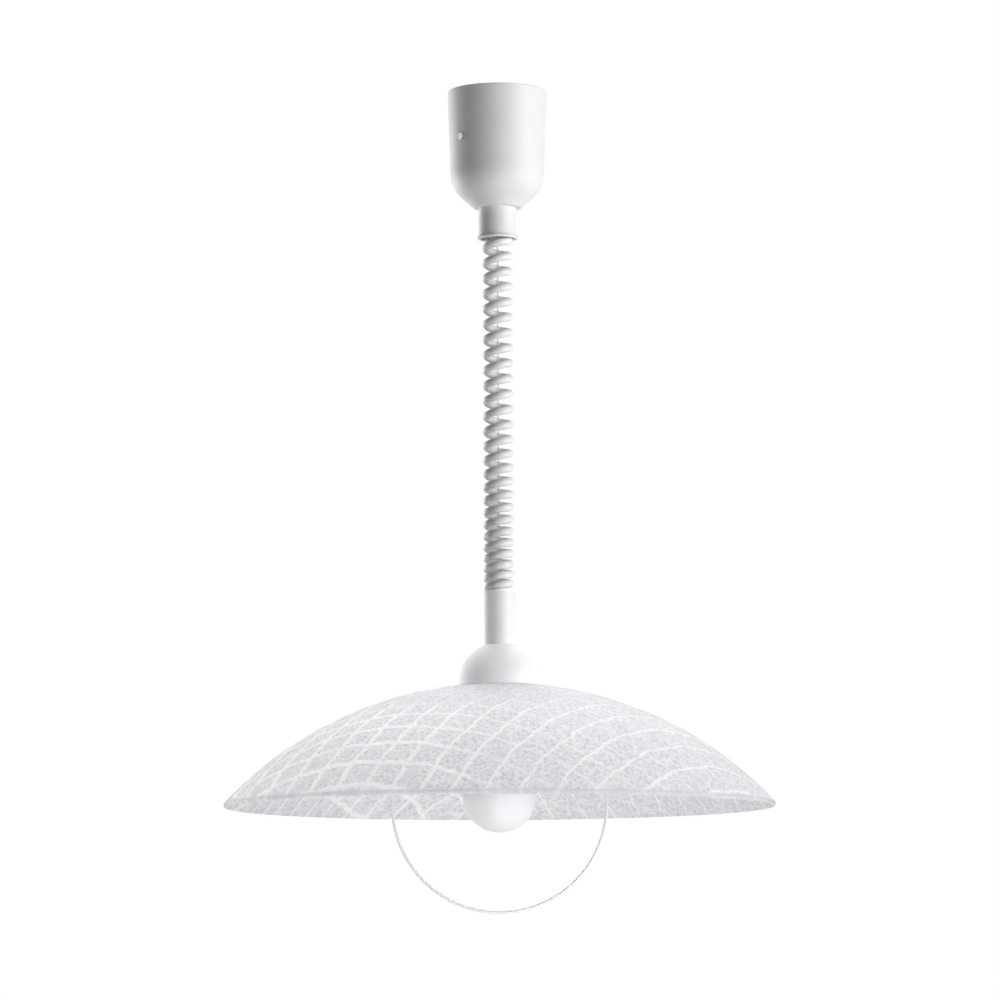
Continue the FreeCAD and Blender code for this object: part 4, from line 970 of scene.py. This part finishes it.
# %% Shade with its raised lattice
lattice_stop = 0.5                # millimetres inside the rim, where the relief ends
lattice_run_out = 3.0
shade_shell = turned("shade_shell", shade_outline, shade_glass, shade_segments)
places = np.array([vertex.co for vertex in shade_shell.data.vertices])
outside = np.arange(len(places)) < (outer_rings + 1) * shade_segments
outward = places - np.array((0, 0, glass_centre * MM))
outward /= np.linalg.norm(outward, axis=1)[:, None]
from_axis = np.hypot(places[:, 0], places[:, 1]) / MM
fade = np.clip((from_axis - lattice_fade[0]) / (lattice_fade[1] - lattice_fade[0]), 0, 1)
fade *= np.clip((shade_radius - lattice_stop - from_axis) / lattice_run_out, 0, 1)
mask = lattice_mask(places[:, 0] / MM, places[:, 1] / MM)
raised = mask * fade * outside * line_height * MM
places += outward * raised[:, None]
shade_shell.data.vertices.foreach_set("co", places.ravel())
shade_shell.data.update()
stand_for(shade_shell, "glass_shade", "lamp")

# %% [markdown]
# ## Pull bow
# The bow is one length of wire. Each end is bent in to make a pin for the ear of the bracket,
# the legs go straight down, and a half circle joins them under the lamp. A curve object with
# a bevel would do, but the tube of the cords is there already and takes any route.

# %% Bow
wire_radius = 1.1 * MM
bow_radius = 77.9 * MM
bow_bend = 2.4 * MM
bow_leg = 63.0 * MM
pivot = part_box("pull_bow")[1].z - wire_radius
pin_start = 70.8 * MM
bow_sides = 28
bend_steps = 6
bow_arc_steps = 180


def half_bow(sign):
    """From the pin's end, round the bend and down the leg."""
    points = [(sign * pin_start, 0, pivot)]
    for i in range(bend_steps + 1):
        turn = math.radians(90 * i / bend_steps)
        points.append((sign * (bow_radius - bow_bend + bow_bend * math.sin(turn)), 0,
                       pivot - bow_bend + bow_bend * math.cos(turn)))
    return points + [(sign * bow_radius, 0, pivot - bow_leg / 2)]


bow_arc = []
for i in range(bow_arc_steps + 1):
    turn = math.pi + math.pi * i / bow_arc_steps
    bow_arc.append((bow_radius * math.cos(turn), 0,
                    pivot - bow_leg + bow_radius * math.sin(turn)))
bow_route = np.array(half_bow(-1) + bow_arc + half_bow(1)[::-1])
bow_wire = tube_along("bow_wire", bow_route, wire_radius, bow_sides, bow_paint)
stand_for(bow_wire, "pull_bow", "bow")

# %% [markdown]
# ## Finishes for the rest
# Every piece that stays as the CAD model made it gets a finish by its slot, also those that
# only show when the cup is let down or when one looks up into the shade. A table from slot to
# finish does it for all of them in one loop.

# %% Finishes by slot
finish_of_slot = {
    "white_plastic": white_plastic, "nylon": natural_nylon, "zinc_steel": zinc, "brass": brass,
    "flex_pvc": flex_plastic, "brown_insulation": brown_sleeve, "blue_insulation": blue_sleeve,
    "cord_nylon": cord_braid, "holder_plastic": holder_plastic, "ceramic": ceramic,
    "gasket_rubber": gasket_rubber, "shade_glass": shade_glass, "bow_wire": bow_paint,
    "opal_glass": opal_glass,
}
for subpart in frame["record"]["subparts"]:
    surface = nodes[subpart["node"]].data
    surface.materials.clear()
    surface.materials.append(finish_of_slot[subpart["material_slot"]])

# %% [markdown]
# ## Which lamp lights what
# Frosted glass lets light through and would go white under the two strong lamps. A
# photographer holds cards between lamp and glass. Real cards could be built here too, but
# each lamp can be told which pieces it lights, by a collection that it is given.

# %% Shade lamps
shade_group = bpy.data.collections.new("shade_group")
for piece in (shade_shell, dome_shell, stem_shell, globe_shell, bow_wire):
    shade_group.objects.link(piece)
for lamp in shade_lamps:
    lamp.light_linking.receiver_collection = shade_group
glass_group = bpy.data.collections.new("glass_group")
glass_group.objects.link(shade_shell)
for lamp in glass_lamps:
    lamp.light_linking.receiver_collection = glass_group
all_but_glass = bpy.data.collections.new("all_but_glass")
all_but_glass.objects.link(shade_shell)
all_but_glass.collection_objects[0].light_linking.link_state = "EXCLUDE"
for lamp in (key_lamp, edge_lamp):
    lamp.light_linking.receiver_collection = all_but_glass
